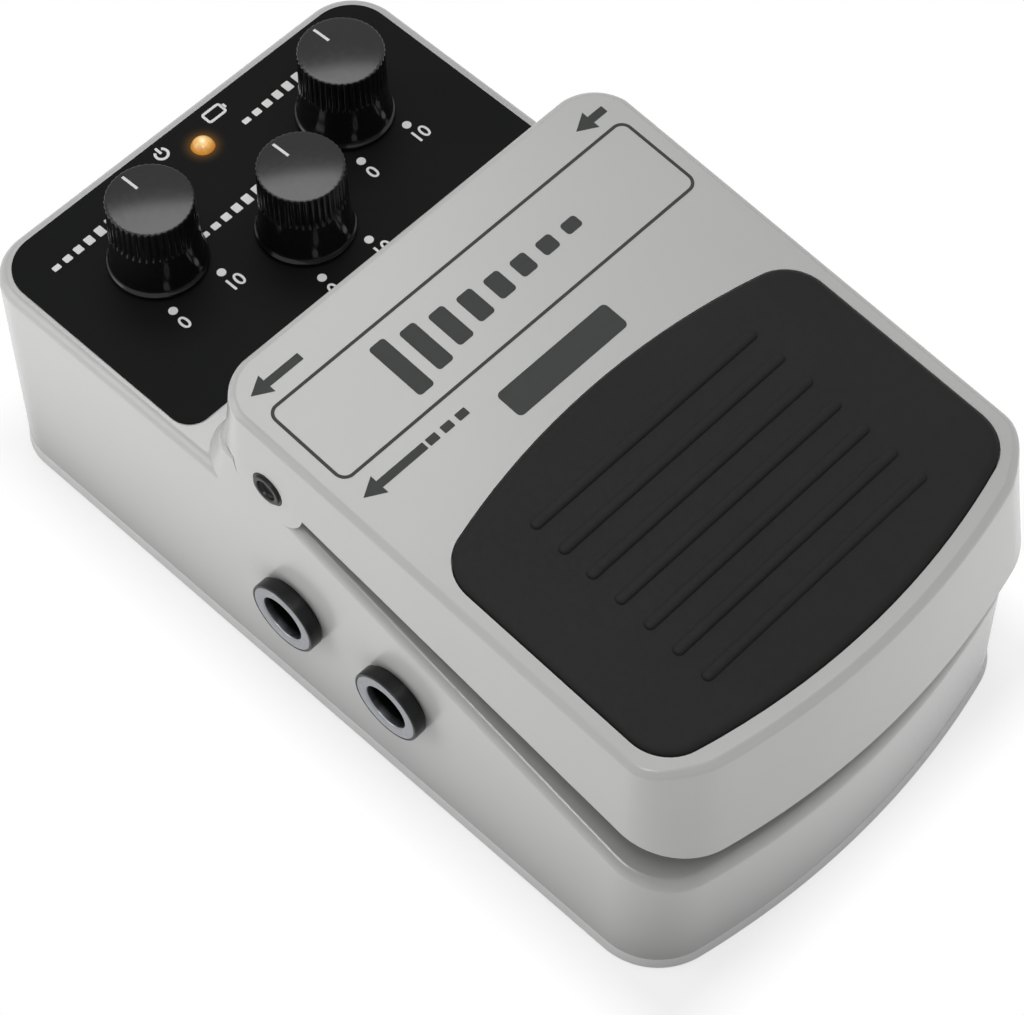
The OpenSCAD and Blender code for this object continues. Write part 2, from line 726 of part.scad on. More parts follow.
module footswitch_plunger() {
    dome_r = 6;
    color("white") translate([0, switch_y, 0]) intersection() {
        translate([0, 0, 29]) cylinder(r = plunger_r, h = 20);
        union() {
            translate([0, 0, plunger_top - dome_r]) sphere(dome_r);
            translate([0, 0, 28]) cylinder(r = plunger_r + 1, h = plunger_top - 1 - 28);
        }
    }
}

module treadle_spring(s) {
    color("silver") translate([s * spring_x, spring_y, spring_seat_z + 0.02]) difference() {
        cylinder(r = spring_out_r, h = spring_roof_z - spring_seat_z - 0.04);
        translate([0, 0, -1]) cylinder(r = spring_in_r, h = 20);
    }
}

// A socket's moulded body, drawn for the right side and mirrored for the left
module jack_body(s, y) {
    color("black") mirror([s > 0 ? 0 : 1, 0, 0]) difference() {
        block([jack_back_x, y - jack_half, board_top + 0.02],
            [jack_front_x, y + jack_half, socket_z + jack_half]);
        bar_x(bush_r + 0.02, y, socket_z, bush_back_x, 40);
        bar_x(jack_bore_r, y, socket_z, jack_back_x + 1.5, 40);
        block([jack_back_x + 2, y - 1.4, socket_z], [bush_back_x - 1, y + 1.4, 40]);
    }
}

module jack_bushing(s, y) {
    color("silver") mirror([s > 0 ? 0 : 1, 0, 0]) difference() {
        bar_x(bush_r, y, socket_z, bush_back_x + 0.02, half_w + collar_reach);
        bar_x(socket_r, y, socket_z, 10, 50);
    }
}

module jack_collar(s, y) {
    face_x = half_w + collar_reach;
    color("black") mirror([s > 0 ? 0 : 1, 0, 0]) difference() {
        union() {
            bar_x(collar_r - 0.15, y, socket_z, half_w + 0.02, half_w + 0.6);
            bar_x(collar_r - 0.4, y, socket_z, half_w + 0.3, face_x);
            bar_x(collar_r, y, socket_z, half_w + 0.9, face_x);
        }
        bar_x(bush_r + 0.02, y, socket_z, 10, 50);
    }
}

module jack_contacts(s, y) {
    color("gold") mirror([s > 0 ? 0 : 1, 0, 0]) {
        block([jack_back_x + 2.2, y - 1.2, socket_z + 4.6], [bush_back_x - 1.2, y + 1.2, socket_z + 5]);
        block([jack_back_x + 3, y - 1.2, socket_z + 2.6], [jack_back_x + 3.4, y + 1.2, socket_z + 4.8]);
        block([jack_back_x + 2.2, y - 1.2, socket_z + 2.4], [jack_back_x + 4.2, y + 1.2, socket_z + 2.8]);
    }
}

module power_inlet_body() {
    nose_end = rear_y - 0.3;
    color("black") difference() {
        union() {
            block([-4.5, rear_y - 14, board_top + 0.02], [4.5, rear_y - wall - 0.1, inlet_z + 4.5]);
            translate([0, nose_end, inlet_z]) rotate([90, 0, 0]) cylinder(r = inlet_nose_r, h = 3);
        }
        translate([0, rear_y + 1, inlet_z]) rotate([90, 0, 0]) cylinder(r = inlet_bore_r, h = 11);
    }
}

module power_inlet_pin() {
    color("silver") translate([0, rear_y - 1.3, inlet_z]) rotate([90, 0, 0])
        cylinder(r = inlet_pin_r, h = 8.65);
}

module battery() {
    terminal_x = battery_at[0] + battery_size[0];
    color("dimgray") {
        block(battery_at, battery_at + battery_size);
        for (y = [-terminal_y, terminal_y]) bar_x(terminal_r, battery_at[1] + battery_size[1] / 2 + y,
            battery_at[2] + battery_size[2] / 2, terminal_x - 1, terminal_x + 1.9);
    }
}

module battery_snap() {
    terminal_x = battery_at[0] + battery_size[0];
    color("black") difference() {
        block([terminal_x + 0.1, battery_at[1] + 1, battery_at[2] + 2.5],
            [terminal_x + 4.4, battery_at[1] + battery_size[1] - 1, battery_at[2] + battery_size[2] - 2.5]);
        for (y = [-terminal_y, terminal_y]) bar_x(terminal_r + 0.1, battery_at[1] + battery_size[1] / 2 + y,
            battery_at[2] + battery_size[2] / 2, terminal_x - 1, terminal_x + 2.1);
    }
}

module battery_leads() {
    snap_x = battery_at[0] + battery_size[0] + 4.42;
    color("firebrick") for (k = [0, 1])
        tube([[snap_x, -30 - 2 * k, 14 + k], [snap_x + 1, -30 - 2 * k, 14 + k],
            [25.6, -26 - 1.5 * k, 17 + k], [23.4, -22.5, 18.2 + 1.4 * k], [21, -17.5, 18 + 1.4 * k],
            [19 - 2.2 * k, -10.6, 16], [19 - 2.2 * k, -10, 14],
            [19 - 2.2 * k, -10, board_top + 0.02]], 0.6);
}

housing();
base_plate();
base_screws();
rubber_feet();
panel_overlay();
knob(0);  // knob_left
knob(1);  // knob_centre
knob(2);  // knob_right
pointer(0);  // pointer_left
pointer(1);  // pointer_centre
pointer(2);  // pointer_right
pot_shaft(0);  // pot_shaft_left
pot_shaft(1);  // pot_shaft_centre
pot_shaft(2);  // pot_shaft_right
pot_body(0);  // pot_body_left
pot_body(1);  // pot_body_centre
pot_body(2);  // pot_body_right
power_lamp();
panel_board();
panel_board_screws();
main_board();
main_board_screws();
board_header();
delay_chips();
capacitors();
treadle();
treadle_pad();
hinge_pin(-1);  // hinge_pin_left
hinge_pin(1);  // hinge_pin_right
pin_spring(-1);  // pin_spring_left
pin_spring(1);  // pin_spring_right
pin_retainer(-1);  // pin_retainer_left
pin_retainer(1);  // pin_retainer_right
footswitch_body();
footswitch_nut();
footswitch_plunger();
treadle_spring(-1);  // treadle_spring_left
treadle_spring(1);  // treadle_spring_right
jack_body(-1, socket_rear_y);  // output_jack_body
jack_bushing(-1, socket_rear_y);  // output_jack_bushing
jack_collar(-1, socket_rear_y);  // output_jack_collar
jack_contacts(-1, socket_rear_y);  // output_jack_contacts
jack_body(-1, socket_front_y);  // direct_jack_body
jack_bushing(-1, socket_front_y);  // direct_jack_bushing
jack_collar(-1, socket_front_y);  // direct_jack_collar
jack_contacts(-1, socket_front_y);  // direct_jack_contacts
jack_body(1, socket_rear_y);  // input_jack_body
jack_bushing(1, socket_rear_y);  // input_jack_bushing
jack_collar(1, socket_rear_y);  // input_jack_collar
jack_contacts(1, socket_rear_y);  // input_jack_contacts
power_inlet_body();
power_inlet_pin();
battery();
battery_snap();
battery_leads();
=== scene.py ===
"""Delay pedal: the visible pieces over its CAD frame, and a plain studio round them.

Lengths inside the builders are millimetres, and a mesh is scaled to metres when it is made.
"""

import json
import math

import bmesh
import bpy
import numpy as np
from mathutils import Matrix, Vector


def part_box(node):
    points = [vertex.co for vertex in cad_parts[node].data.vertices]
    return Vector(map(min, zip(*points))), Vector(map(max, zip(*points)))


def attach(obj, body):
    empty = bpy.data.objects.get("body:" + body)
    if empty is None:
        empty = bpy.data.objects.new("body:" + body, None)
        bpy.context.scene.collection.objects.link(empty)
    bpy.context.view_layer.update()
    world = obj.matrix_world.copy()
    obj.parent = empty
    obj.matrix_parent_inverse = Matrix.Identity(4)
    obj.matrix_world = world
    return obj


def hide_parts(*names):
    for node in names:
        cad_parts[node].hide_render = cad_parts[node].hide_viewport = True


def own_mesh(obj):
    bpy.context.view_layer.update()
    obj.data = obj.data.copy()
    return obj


bl_info = {
    "name": "Delay Pedal",
    "version": (1, 0, 0),
    "blender": (4, 5, 0),
    "location": "3D View > Sidebar > Pedal",
    "description": "Builds the visible pieces of a delay pedal on its CAD frame",
    "category": "Add Mesh",
}

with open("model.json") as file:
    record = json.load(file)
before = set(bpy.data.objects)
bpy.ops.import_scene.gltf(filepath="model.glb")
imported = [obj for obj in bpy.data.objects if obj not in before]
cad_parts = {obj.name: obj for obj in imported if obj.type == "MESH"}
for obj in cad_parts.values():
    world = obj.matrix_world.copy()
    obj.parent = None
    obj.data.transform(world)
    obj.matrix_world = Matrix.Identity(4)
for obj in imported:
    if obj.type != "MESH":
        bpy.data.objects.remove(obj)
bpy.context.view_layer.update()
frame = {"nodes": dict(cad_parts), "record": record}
MM = 0.001
MERGE = 1e-4
STRAIGHT = 1e6

# Side profile and plan of the case, as in the CAD model
CASE_BOW = 115.0
CASE_CORNERS = (9.0, 7.4)
DECK_Z0 = 36.7
DECK_SLOPE = 0.29
DECK_RUN = (8.0, 10.0)
CREST_Z = 42.7
CREST_REAR = 18.4
CREST_FOOT = 22.05
CREST_CORNERS = (6.05, 4.0)
CREST_START = 5.13
PANEL_Z = 35.8
LABEL_Z = 36.05
BASE_TOP = 1.85
BASE_REACH = 0.4

# Treadle and mat, as in the CAD model
TREAD_Z0 = 51.59
TREAD_SLOPE = 0.096
TREAD_CORNERS = (9.6, 6.4)
NOSE_LEAN = 0.14
NOSE_LIP_Z = 29.36
NOSE_TURN = 0.9746
REAR_LEAN = 0.1217
REAR_FOOT_Z = 43.4
SIDE_LEAN = 0.04
SKIRT_Z0 = 41.4
SKIRT_SLOPE = 0.196
MAT_BOW = 101.85
MAT_CORNER = 5.85
MAT_PROUD = 0.6
MAT_SUNK = 1.45
HINGE_Y = 7.55
HINGE_Z = 42.65
SOCKET_Z = 18.55

# Clearance of a trimming skin inside the CAD faces, and its overlap where it runs out on them
CLEAR = 0.03
OVERLAP = 0.015
ABOVE = 70.0
FAR = 99.0
CREST_IN = 0.003

# How deep print is sunk, and how far it stands proud of the label and of the treadle
PRINT_SUNK = -0.1
LABEL_PROUD = 0.03
PRINT_PROUD = 0.02

# Knob radii at the foot of its grip, its rim and its crown, and the grip's height
KNOB_WAIST = 5.66
KNOB_RIM = 5.56
KNOB_CROWN = 5.1
KNOB_GRIP = 5.4

# Lamp: radius of its dome, level of its legs' tops, and the painted pool of light that the label emits round
# it
LAMP_RADIUS = 1.58
LAMP_FOOT = 29.6
PAINTED_POOL_REACH = (1.3 * MM, 3.6 * MM)
PAINTED_POOL_FALL = 3.0
PAINTED_POOL_STRENGTH = 0.13
PAINTED_POOL_COLOUR = (1.0, 0.5, 0.12, 1.0)

# Print about each knob's middle: dots, numbers and rising bars
DOT_RADIUS = 0.61
DOT_PLACE = (4.1, -7.1)
NUMBER_PLACE = (4.3, -9.5)
NUMBER_CAP = 1.9
BAR_START = -10.2
BAR_STEP = 1.9
BAR_WIDE = 1.15
BAR_FOOT = 7.8
BAR_TOP = 8.6
BAR_RISE = 0.17

# Print on the treadle: corners of the frame line, falling bars, plate, arrows from tip to tail, and dashes
FRAME_EDGE = (30.1, -2.7, 10.25)
FALL_START = (-15.6, 3.8)
FALL_STEP = 4.1
FALL_WIDE = 2.5
FALL_TALL = 8.6
FALL_SHARE = 0.8
PLATE = ((-9.2, -10.5), (9.2, -6.4))
ARROWS = ((-29.8, -21.8, 12.9), (-29.8, -19.8, -5.5), (24.6, 29.6, 12.7))
DASHES = (-19.4, -17.0, -14.6)

# Sockets: radii of the bore, the thread, the collar's neck, lip and rim, and the bushing's inner end
BORE = 3.25
THREAD = 4.53
NECK = 4.75
LIP = 4.86
RIM = 5.2
BUSHING_BACK = 26.02

# Springs: radius over the wire, radius of the wire and turns
RETURN_COIL = (3.8, 0.45, 6)
PIN_COIL = (3.2, 0.3, 6)

KNOBS = ("left", "centre", "right")
SOCKETS = ("output", "direct", "input")


def length(name, description, value):
    """A length property, given in millimetres and kept in metres."""
    return bpy.props.FloatProperty(
        name=name, description=description, default=value * MM, min=0.0, unit="LENGTH", precision=5
    )


def shade(name, description, value):
    """A colour property, in linear light."""
    return bpy.props.FloatVectorProperty(
        name=name, description=description, default=value, size=3, min=0.0, max=1.0, subtype="COLOR"
    )


class PedalSizes(bpy.types.PropertyGroup):
    """Sizes that shape the visible pieces."""

    wall_draft: length("Wall draft", "How far a wall leans in from the floor to the panel", 0.25)
    rim_round: length("Rim rounding", "Radius of the case's rim under the treadle", 1.4)
    ear_round: length("Crest rounding", "Radius along the edge of the crest", 0.6)
    panel_round: length("Panel rounding", "Radius round the control panel", 1.45)
    tread_round: length("Treadle rounding", "How far each turn in the treadle's edge is softened", 0.32)
    tread_bevel: length("Treadle bevel", "Width of the bevel round the treadle's top", 0.8)
    tread_drop: length("Bevel drop", "Height of the bevel round the treadle's top", 0.6)
    mat_border: length("Mat border", "Width of the mat's rounded border", 1.1)
    rib_height: length("Rib height", "Height of the grip ribs on the mat", 0.4)
    flute_depth: length("Flute depth", "Depth of the flutes round a knob", 0.26)
    line_width: length("Line width", "Width of the frame line printed on the treadle", 0.44)
    flutes: bpy.props.IntProperty(name="Flutes", description="Flutes round a knob", default=42, min=12)


class PedalColours(bpy.types.PropertyGroup):
    """Colours of the visible finishes."""

    case_grey: shade("Case", "Moulded case", (0.52, 0.52, 0.515))
    treadle_grey: shade("Treadle", "Moulded treadle", (0.518, 0.518, 0.508))
    band_grey: shade("Base", "Painted base plate", (0.92, 0.92, 0.915))
    label_black: shade("Label", "Film on the control panel", (0.006, 0.0063, 0.0062))
    mat_black: shade("Mat", "Rubber of the mat and feet", (0.014, 0.014, 0.014))
    knob_black: shade("Knobs", "Moulded knobs", (0.006, 0.006, 0.006))
    collar_black: shade("Collars", "Socket collars and hinge pins", (0.007, 0.007, 0.007))
    print_dark: shade("Dark print", "Print on the treadle", (0.034, 0.036, 0.036))
    print_white: shade("White print", "Print on the label and pointer lines", (0.8, 0.8, 0.79))
    lamp_core: shade("Lamp core", "Middle of the lit lamp", (1.0, 0.86, 0.6))
    lamp_body: shade("Lamp body", "Resin of the lit lamp between its middle and its edge", (0.72, 0.5, 0.17))
    lamp_rim: shade("Lamp rim", "Edge of the lit lamp", (0.45, 0.17, 0.02))


def sizes():
    """The scene's size settings."""
    return bpy.context.scene.pedal_sizes


def colours():
    """The scene's colour settings."""
    return bpy.context.scene.pedal_colours


def cad_box(node):
    """Lowest and highest corner of a CAD node, in millimetres."""
    low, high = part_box(node)
    return np.array(low) / MM, np.array(high) / MM


# Finishes


def blank_finish(name):
    """A new material with its node tree and its main shader."""
    material = bpy.data.materials.new(name)
    material.use_nodes = True
    tree = material.node_tree
    return material, tree, tree.nodes["Principled BSDF"]


def grain(tree, per_mm, detail=2.0, stretch=(1.0, 1.0, 1.0)):
    """A noise pattern on Object coordinates with about per_mm cells to the millimetre."""
    scale = tree.nodes.new("ShaderNodeMapping")
    scale.inputs["Scale"].default_value = stretch
    cloud = tree.nodes.new("ShaderNodeTexNoise")
    cloud.inputs["Scale"].default_value = per_mm / MM
    cloud.inputs["Detail"].default_value = detail
    tree.links.new(object_place(tree), scale.inputs["Vector"])
    tree.links.new(scale.outputs["Vector"], cloud.inputs["Vector"])
    return cloud.outputs["Fac"]


def spread(tree, value, low, high, start=0.3, end=0.7):
    """A pattern's range from start to end, laid over the range from low to high."""
    span = tree.nodes.new("ShaderNodeMapRange")
    span.inputs["From Min"].default_value = start
    span.inputs["From Max"].default_value = end
    span.inputs["To Min"].default_value = low
    span.inputs["To Max"].default_value = high
    tree.links.new(value, span.inputs["Value"])
    return span.outputs["Result"]


def tint(tree, value, first, second):
    """Two colours mixed by a pattern."""
    mix = tree.nodes.new("ShaderNodeMix")
    mix.data_type = "RGBA"
    mix.inputs[6].default_value = (*first, 1.0)
    mix.inputs[7].default_value = (*second, 1.0)
    tree.links.new(value, mix.inputs[0])
    return mix.outputs[2]


def combine(tree, way, *values, kind="ShaderNodeMath", output="Value"):
    """Constants and other nodes' outputs put together by a calculation."""
    step = tree.nodes.new(kind)
    step.operation = way
    for socket, value in zip(step.inputs, values):
        if isinstance(value, bpy.types.NodeSocket):
            tree.links.new(value, socket)
        else:
            socket.default_value = value
    return step.outputs[output]


def combine_places(tree, way, *values, output="Vector"):
    """The same for places, giving a place or one value."""
    return combine(tree, way, *values, kind="ShaderNodeVectorMath", output=output)


def object_place(tree):
    """Each point's Object coordinates."""
    return tree.nodes.new("ShaderNodeTexCoord").outputs["Object"]


def distance_from(tree, point, keep=(1.0, 1.0, 1.0)):
    """Distance from a point in metres, along the axes that are kept."""
    flat = combine_places(tree, "MULTIPLY", object_place(tree), keep)
    kept = [p * k for p, k in zip(point, keep)]
    return combine_places(tree, "DISTANCE", flat, kept, output="Value")


def distance_outside(tree, half):
    """Distance outside a box about the origin: what each coordinate has beyond its half size."""
    beyond = combine_places(tree, "ABSOLUTE", object_place(tree))
    beyond = combine_places(tree, "SUBTRACT", beyond, half)
    beyond = combine_places(tree, "MAXIMUM", beyond, (0.0, 0.0, 0.0))
    return combine_places(tree, "LENGTH", beyond, output="Value")


def blend(tree, share, first, second):
    """Two shaders mixed by a share."""
    mix = tree.nodes.new("ShaderNodeMixShader")
    for socket, value in zip(mix.inputs, (share, first, second)):
        tree.links.new(value, socket)
    return mix.outputs[0]


def any_ray(tree, *kinds):
    """One where a ray is of any of some kinds, nought elsewhere."""
    path = tree.nodes.new("ShaderNodeLightPath")
    last = path.outputs[kinds[0]]
    for kind in kinds[1:]:
        last = combine(tree, "MAXIMUM", last, path.outputs[kind])
    return last


def grain_finish(name, colour, rough, metal=0.0, gloss=0.5, tone=0.03, cells=1.6, depth=0.004, swing=0.04):
    """A moulded, painted or plated surface: fine grain in bump and roughness, broad drift in tone."""
    material, tree, shader = blank_finish(name)
    fine = grain(tree, cells)
    broad = grain(tree, 0.05, 3.0)
    base = np.array(colour[:3])
    patch = tint(tree, spread(tree, broad, 0.0, 1.0), base * (1 - tone), base * (1 + tone))
    bump = tree.nodes.new("ShaderNodeBump")
    bump.inputs["Strength"].default_value = 1.0
    bump.inputs["Distance"].default_value = depth * MM
    tree.links.new(fine, bump.inputs["Height"])
    tree.links.new(patch, shader.inputs["Base Color"])
    tree.links.new(spread(tree, fine, rough - swing, rough + swing), shader.inputs["Roughness"])
    tree.links.new(bump.outputs["Normal"], shader.inputs["Normal"])
    shader.inputs["Metallic"].default_value = metal
    shader.inputs["Specular IOR Level"].default_value = gloss
    return material


def label_finish_with_painted_glow(name):
    """Black film that glows amber close to the lamp: a painted pool of the lamp's light, emitted by the film
    itself.
    """
    material = grain_finish(name, colours().label_black, 0.55, gloss=0.05, tone=0.08, cells=3.0, depth=0.002)
    tree = material.node_tree
    shader = tree.nodes["Principled BSDF"]
    low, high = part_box("power_lamp")
    middle = (0.0, (low.y + high.y) / 2, LABEL_Z * MM)
    # Painted light: the film's own emission makes the pool, strongest by the lamp and fading outwards.
    fall = spread(tree, distance_from(tree, middle), 1.0, 0.0, *PAINTED_POOL_REACH)
    level = combine(tree, "MULTIPLY", combine(tree, "POWER", fall, PAINTED_POOL_FALL), PAINTED_POOL_STRENGTH)
    tree.links.new(level, shader.inputs["Emission Strength"])
    shader.inputs["Emission Color"].default_value = PAINTED_POOL_COLOUR
    return material


def lamp_finish(name):
    """Lit amber resin: bright over the die in the middle, deeper at the edge."""
    material, tree, shader = blank_finish(name)
    low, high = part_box("power_lamp")
    middle = (0.0, (low.y + high.y) / 2, 0.0)
    across = spread(tree, distance_from(tree, middle, (1.0, 1.0, 0.0)), 0.0, 1.0, 0.1 * MM, 1.5 * MM)
    ramp = tree.nodes.new("ShaderNodeValToRGB")
    ramp.color_ramp.elements[0].color = (*colours().lamp_core, 1.0)
    ramp.color_ramp.elements[1].color = (*colours().lamp_rim, 1.0)
    ramp.color_ramp.elements.new(0.33).color = (*colours().lamp_body, 1.0)
    tree.links.new(across, ramp.inputs["Fac"])
    cloud = spread(tree, grain(tree, 1.4), 0.9, 1.1)
    tree.links.new(ramp.outputs["Color"], shader.inputs["Emission Color"])
    tree.links.new(cloud, shader.inputs["Emission Strength"])
    shader.inputs["Base Color"].default_value = (0.2, 0.06, 0.005, 1.0)
    shader.inputs["Roughness"].default_value = 0.06
    return material


def shaded_bore_finish(name):
    """Plated metal painted darker down the bore of a socket: painted shade in the recess."""
    plate = (0.27, 0.28, 0.3)
    bore_shade_colour = (0.015, 0.015, 0.016)
    material = grain_finish(name, plate, 0.36, metal=1.0, tone=0.05, depth=0.0003, swing=0.06)
    tree = material.node_tree
    face = cad_box("output_jack_collar")[0][0]
    near = distance_outside(tree, ((-face - 1.5) * MM, 1.0, 1.0))
    # Painted shade: the colour goes from the plate's tone at the mouth to a near black deeper in the bore.
    lit = spread(tree, near, 0.0, 1.0, 0.2 * MM, 1.4 * MM)
    patch = tint(tree, lit, bore_shade_colour, plate)
    tree.links.new(patch, tree.nodes["Principled BSDF"].inputs["Base Color"])
    return material


# Grained finishes: colour or the name of its setting, roughness, and what differs from the usual grain
MOULDED = {"tone": 0.015, "depth": 0.0003, "swing": 0.02}
GRAINED = {
    "satin_case": ("case_grey", 0.22, MOULDED),
    "satin_treadle": ("treadle_grey", 0.22, {**MOULDED, "gloss": 0.38}),
    "band_paint": ("band_grey", 0.36, {"gloss": 1.0, "tone": 0.015, "depth": 0.0003}),
    "mat_rubber": ("mat_black", 0.6, {"gloss": 0.12, "tone": 0.1, "depth": 0.012}),
    "knob_satin": ("knob_black", 0.16, {"gloss": 0.34, "tone": 0.1, "depth": 0.0001, "swing": 0.02}),
    "collar_satin": ("collar_black", 0.32, {"gloss": 0.25, "tone": 0.1}),
    "print_dark": ("print_dark", 0.5, {"gloss": 0.2, "tone": 0.06}),
    "print_white": ("print_white", 0.5, {"gloss": 0.3}),
    "zinc_steel": ((0.55, 0.55, 0.57), 0.38, {"metal": 1.0, "tone": 0.08, "swing": 0.08}),
    "pot_plate": ((0.5, 0.5, 0.52), 0.38, {"metal": 1.0, "tone": 0.06}),
    "leaf_brass": ((0.7, 0.52, 0.22), 0.35, {"metal": 1.0, "tone": 0.08}),
    "board_mask": ((0.02, 0.13, 0.05), 0.4, {"tone": 0.25, "cells": 0.8, "depth": 0.02}),
    "moulding_satin": ((0.02, 0.02, 0.021), 0.5, {"gloss": 0.3, "tone": 0.1, "depth": 0.006}),
    "sleeve_blue": ((0.03, 0.05, 0.2), 0.35, {"tone": 0.1}),
    "can_foil": ((0.1, 0.1, 0.11), 0.4, {"metal": 0.6, "tone": 0.15}),
    "lead_red": ((0.5, 0.03, 0.02), 0.45, {"tone": 0.1}),
}
SPECIAL = {"label_film": label_finish_with_painted_glow, "lamp_lit": lamp_finish, "socket_plate": shaded_bore_finish}

SLOT_FINISH = {
    "case_plastic": "satin_case",
    "base_paint": "band_paint",
    "bare_steel": "zinc_steel",
    "pad_rubber": "mat_rubber",
    "label_black": "label_film",
    "knob_black": "knob_satin",
    "pointer_white": "print_white",
    "pot_metal": "pot_plate",
    "lamp_amber": "lamp_lit",
    "board_green": "board_mask",
    "black_moulding": "moulding_satin",
    "collar_black": "collar_satin",
    "socket_chrome": "socket_plate",
    "contact_brass": "leaf_brass",
    "capacitor_sleeve": "sleeve_blue",
    "battery_can": "can_foil",
    "lead_sleeve": "lead_red",
}


def finish(name):
    """The named finish, made when it is first asked for."""
    ready = bpy.data.materials.get(name)
    if ready:
        return ready
    if name in SPECIAL:
        return SPECIAL[name](name)
    colour, rough, differs = GRAINED[name]
    if isinstance(colour, str):
        colour = getattr(colours(), colour)
    return grain_finish(name, colour, rough, **differs)


# Shapes


def grid_faces(rows, columns):
    """Quads that join each point of a grid to its neighbours, with the last column meeting the first."""
    start = np.arange(rows - 1)[:, None] * columns
    column = np.arange(columns)
    beside = (column + 1) % columns
    quads = [start + column, start + beside, start + columns + beside, start + columns + column]
    return np.stack(quads, -1).reshape(-1, 4).tolist()


def loft(rows, capped=True):
    """Skin over rows of a closed outline, with a flat cap on the first and the last where it is capped."""
    count = rows.shape[1]
    faces = grid_faces(len(rows), count)
    if capped:
        last = (len(rows) - 1) * count
        faces.append(list(range(count))[::-1])
        faces.append(list(range(last, last + count)))
    return rows.reshape(-1, 3), faces


def roofed(rows, front, rear):
    """Skin over rows of a mirrored plan, flat below.

    Its roof is one face up to the front column and one from the rear column. Between them each point of
    the last row is joined to its mirror.
    """
    count = rows.shape[1]
    column = np.arange(front, rear)
    strips = np.stack([column, column + 1, count - column - 1, count - column], -1)
    ahead = [*range(front + 1), *range(count - front, count)]
    behind = [*range(rear, count - rear + 1)]
    roof = [ahead, *strips.tolist(), behind]
    last = (len(rows) - 1) * count
    faces = grid_faces(len(rows), count)
    faces.append(list(range(count))[::-1])
    faces += [[last + corner for corner in face] for face in roof]
    return rows.reshape(-1, 3), faces


def join(parts):
    """Several shapes as one, with the later ones' faces counted on."""
    counts = np.cumsum([0] + [len(points) for points, _ in parts[:-1]])
    faces = [
        [corner + int(first) for corner in face]
        for first, (_, part) in zip(counts, parts)
        for face in part
    ]
    return np.concatenate([points for points, _ in parts]), faces


def plan_outline(half, front, rear, bows, corners, stations, fine=18):
    """Closed plan and its outward normals, anticlockwise from the middle of the front.

    A wide arc bows the front, an arc turns each corner, stations give the places along the straight
    side, and another arc bows the rear. The left half mirrors the right.
    """
    front_mid = front + bows[0]
    rear_mid = rear - bows[1]
    front_x = half - corners[0]
    rear_x = half - corners[1]
    front_y = front_mid - math.sqrt((bows[0] - corners[0]) ** 2 - front_x**2)
    rear_y = rear_mid + math.sqrt((bows[1] - corners[1]) ** 2 - rear_x**2)
    front_turn = math.atan2(front_y - front_mid, front_x)
    rear_turn = math.atan2(rear_y - rear_mid, rear_x)
    side = np.concatenate([[front_y], stations[(stations > front_y + 0.1) & (stations < rear_y - 0.1)]])
    counts = [fine, fine, len(side), fine, fine + 1]
    turn = np.concatenate([
        np.linspace(-math.pi / 2, front_turn, fine, endpoint=False),
        np.linspace(front_turn, 0, fine, endpoint=False),
        np.zeros(len(side)),
        np.linspace(0, rear_turn, fine, endpoint=False),
        np.linspace(rear_turn, math.pi / 2, fine + 1),
    ])
    mid_x = np.repeat([0, front_x, front_x, rear_x, 0], counts)
    mid_y = np.repeat([front_mid, front_y, 0, rear_y, rear_mid], counts)
    mid_y[2 * fine:2 * fine + len(side)] = side
    radius = np.repeat([bows[0], corners[0], corners[0], corners[1], bows[1]], counts)
    out = np.stack([np.cos(turn), np.sin(turn)], -1)
    right = np.stack([mid_x, mid_y], -1) + radius[:, None] * out
    mirror = np.array([-1.0, 1.0])
    return np.concatenate([right, right[-2:0:-1] * mirror]), np.concatenate([out, out[-2:0:-1] * mirror])


def round_box(low, high, radius, steps=6):
    """Closed plan of a rectangle whose corners are quarter circles, anticlockwise."""
    turn = np.linspace(0, math.pi / 2, steps)
    quarter = np.arange(4)[:, None] * math.pi / 2 + turn
    mid_x = np.array([high[0] - radius, low[0] + radius, low[0] + radius, high[0] - radius])
    mid_y = np.array([high[1] - radius, high[1] - radius, low[1] + radius, low[1] + radius])
    x = mid_x[:, None] + radius * np.cos(quarter)
    y = mid_y[:, None] + radius * np.sin(quarter)
    return np.stack([x.ravel(), y.ravel()], -1)


def inset_rows(plan, out, inset, height):
    """Rows of an outline: each point moves in along its normal by inset and stands at height."""
    flat = plan - np.asarray(inset)[..., None] * out
    return np.concatenate([flat, np.broadcast_to(height, flat.shape[:-1])[..., None]], -1)


def soften(corners, reach, steps=6, closed=False):
    """A polyline with each corner turned into a parabola between points set back by its reach."""
    corners = np.asarray(corners, float)
    reach = np.broadcast_to(np.asarray(reach, float), len(corners)).copy()
    if not closed:
        reach[[0, -1]] = 0
    ways = np.stack([np.roll(corners, 1, 0), np.roll(corners, -1, 0)]) - corners
    share = np.minimum(reach / np.maximum(np.linalg.norm(ways, axis=2), MERGE), 0.49)
    ends = corners + ways * share[..., None]
    s = np.linspace(0, 1, steps)[None, :, None]
    curve = (1 - s) ** 2 * ends[0][:, None] + 2 * s * (1 - s) * corners[:, None] + s**2 * ends[1][:, None]
    return curve.reshape(-1, 2)


def turned(radius, along, place, axis="z", sides=96, closed=False):
    """A profile carried round an axis: each point lies at its radius from the axis, its distance along it.

    The radius may differ round the axis. A closed profile makes a ring.
    """
    turn = np.linspace(0, 2 * math.pi, sides, endpoint=False)
    radius = np.broadcast_to(np.asarray(radius, float).reshape(len(along), -1), (len(along), sides))
    across = radius * np.cos(turn)
    up = radius * np.sin(turn)
    along = np.broadcast_to(np.asarray(along, float)[:, None], across.shape)
    order = [across, up, along] if axis == "z" else [along, across, up]
    rows = np.stack(order, -1) + np.asarray(place, float)
    if closed:
        rows = np.concatenate([rows, rows[:1]])
    return rows.reshape(-1, 3), grid_faces(len(rows), sides)


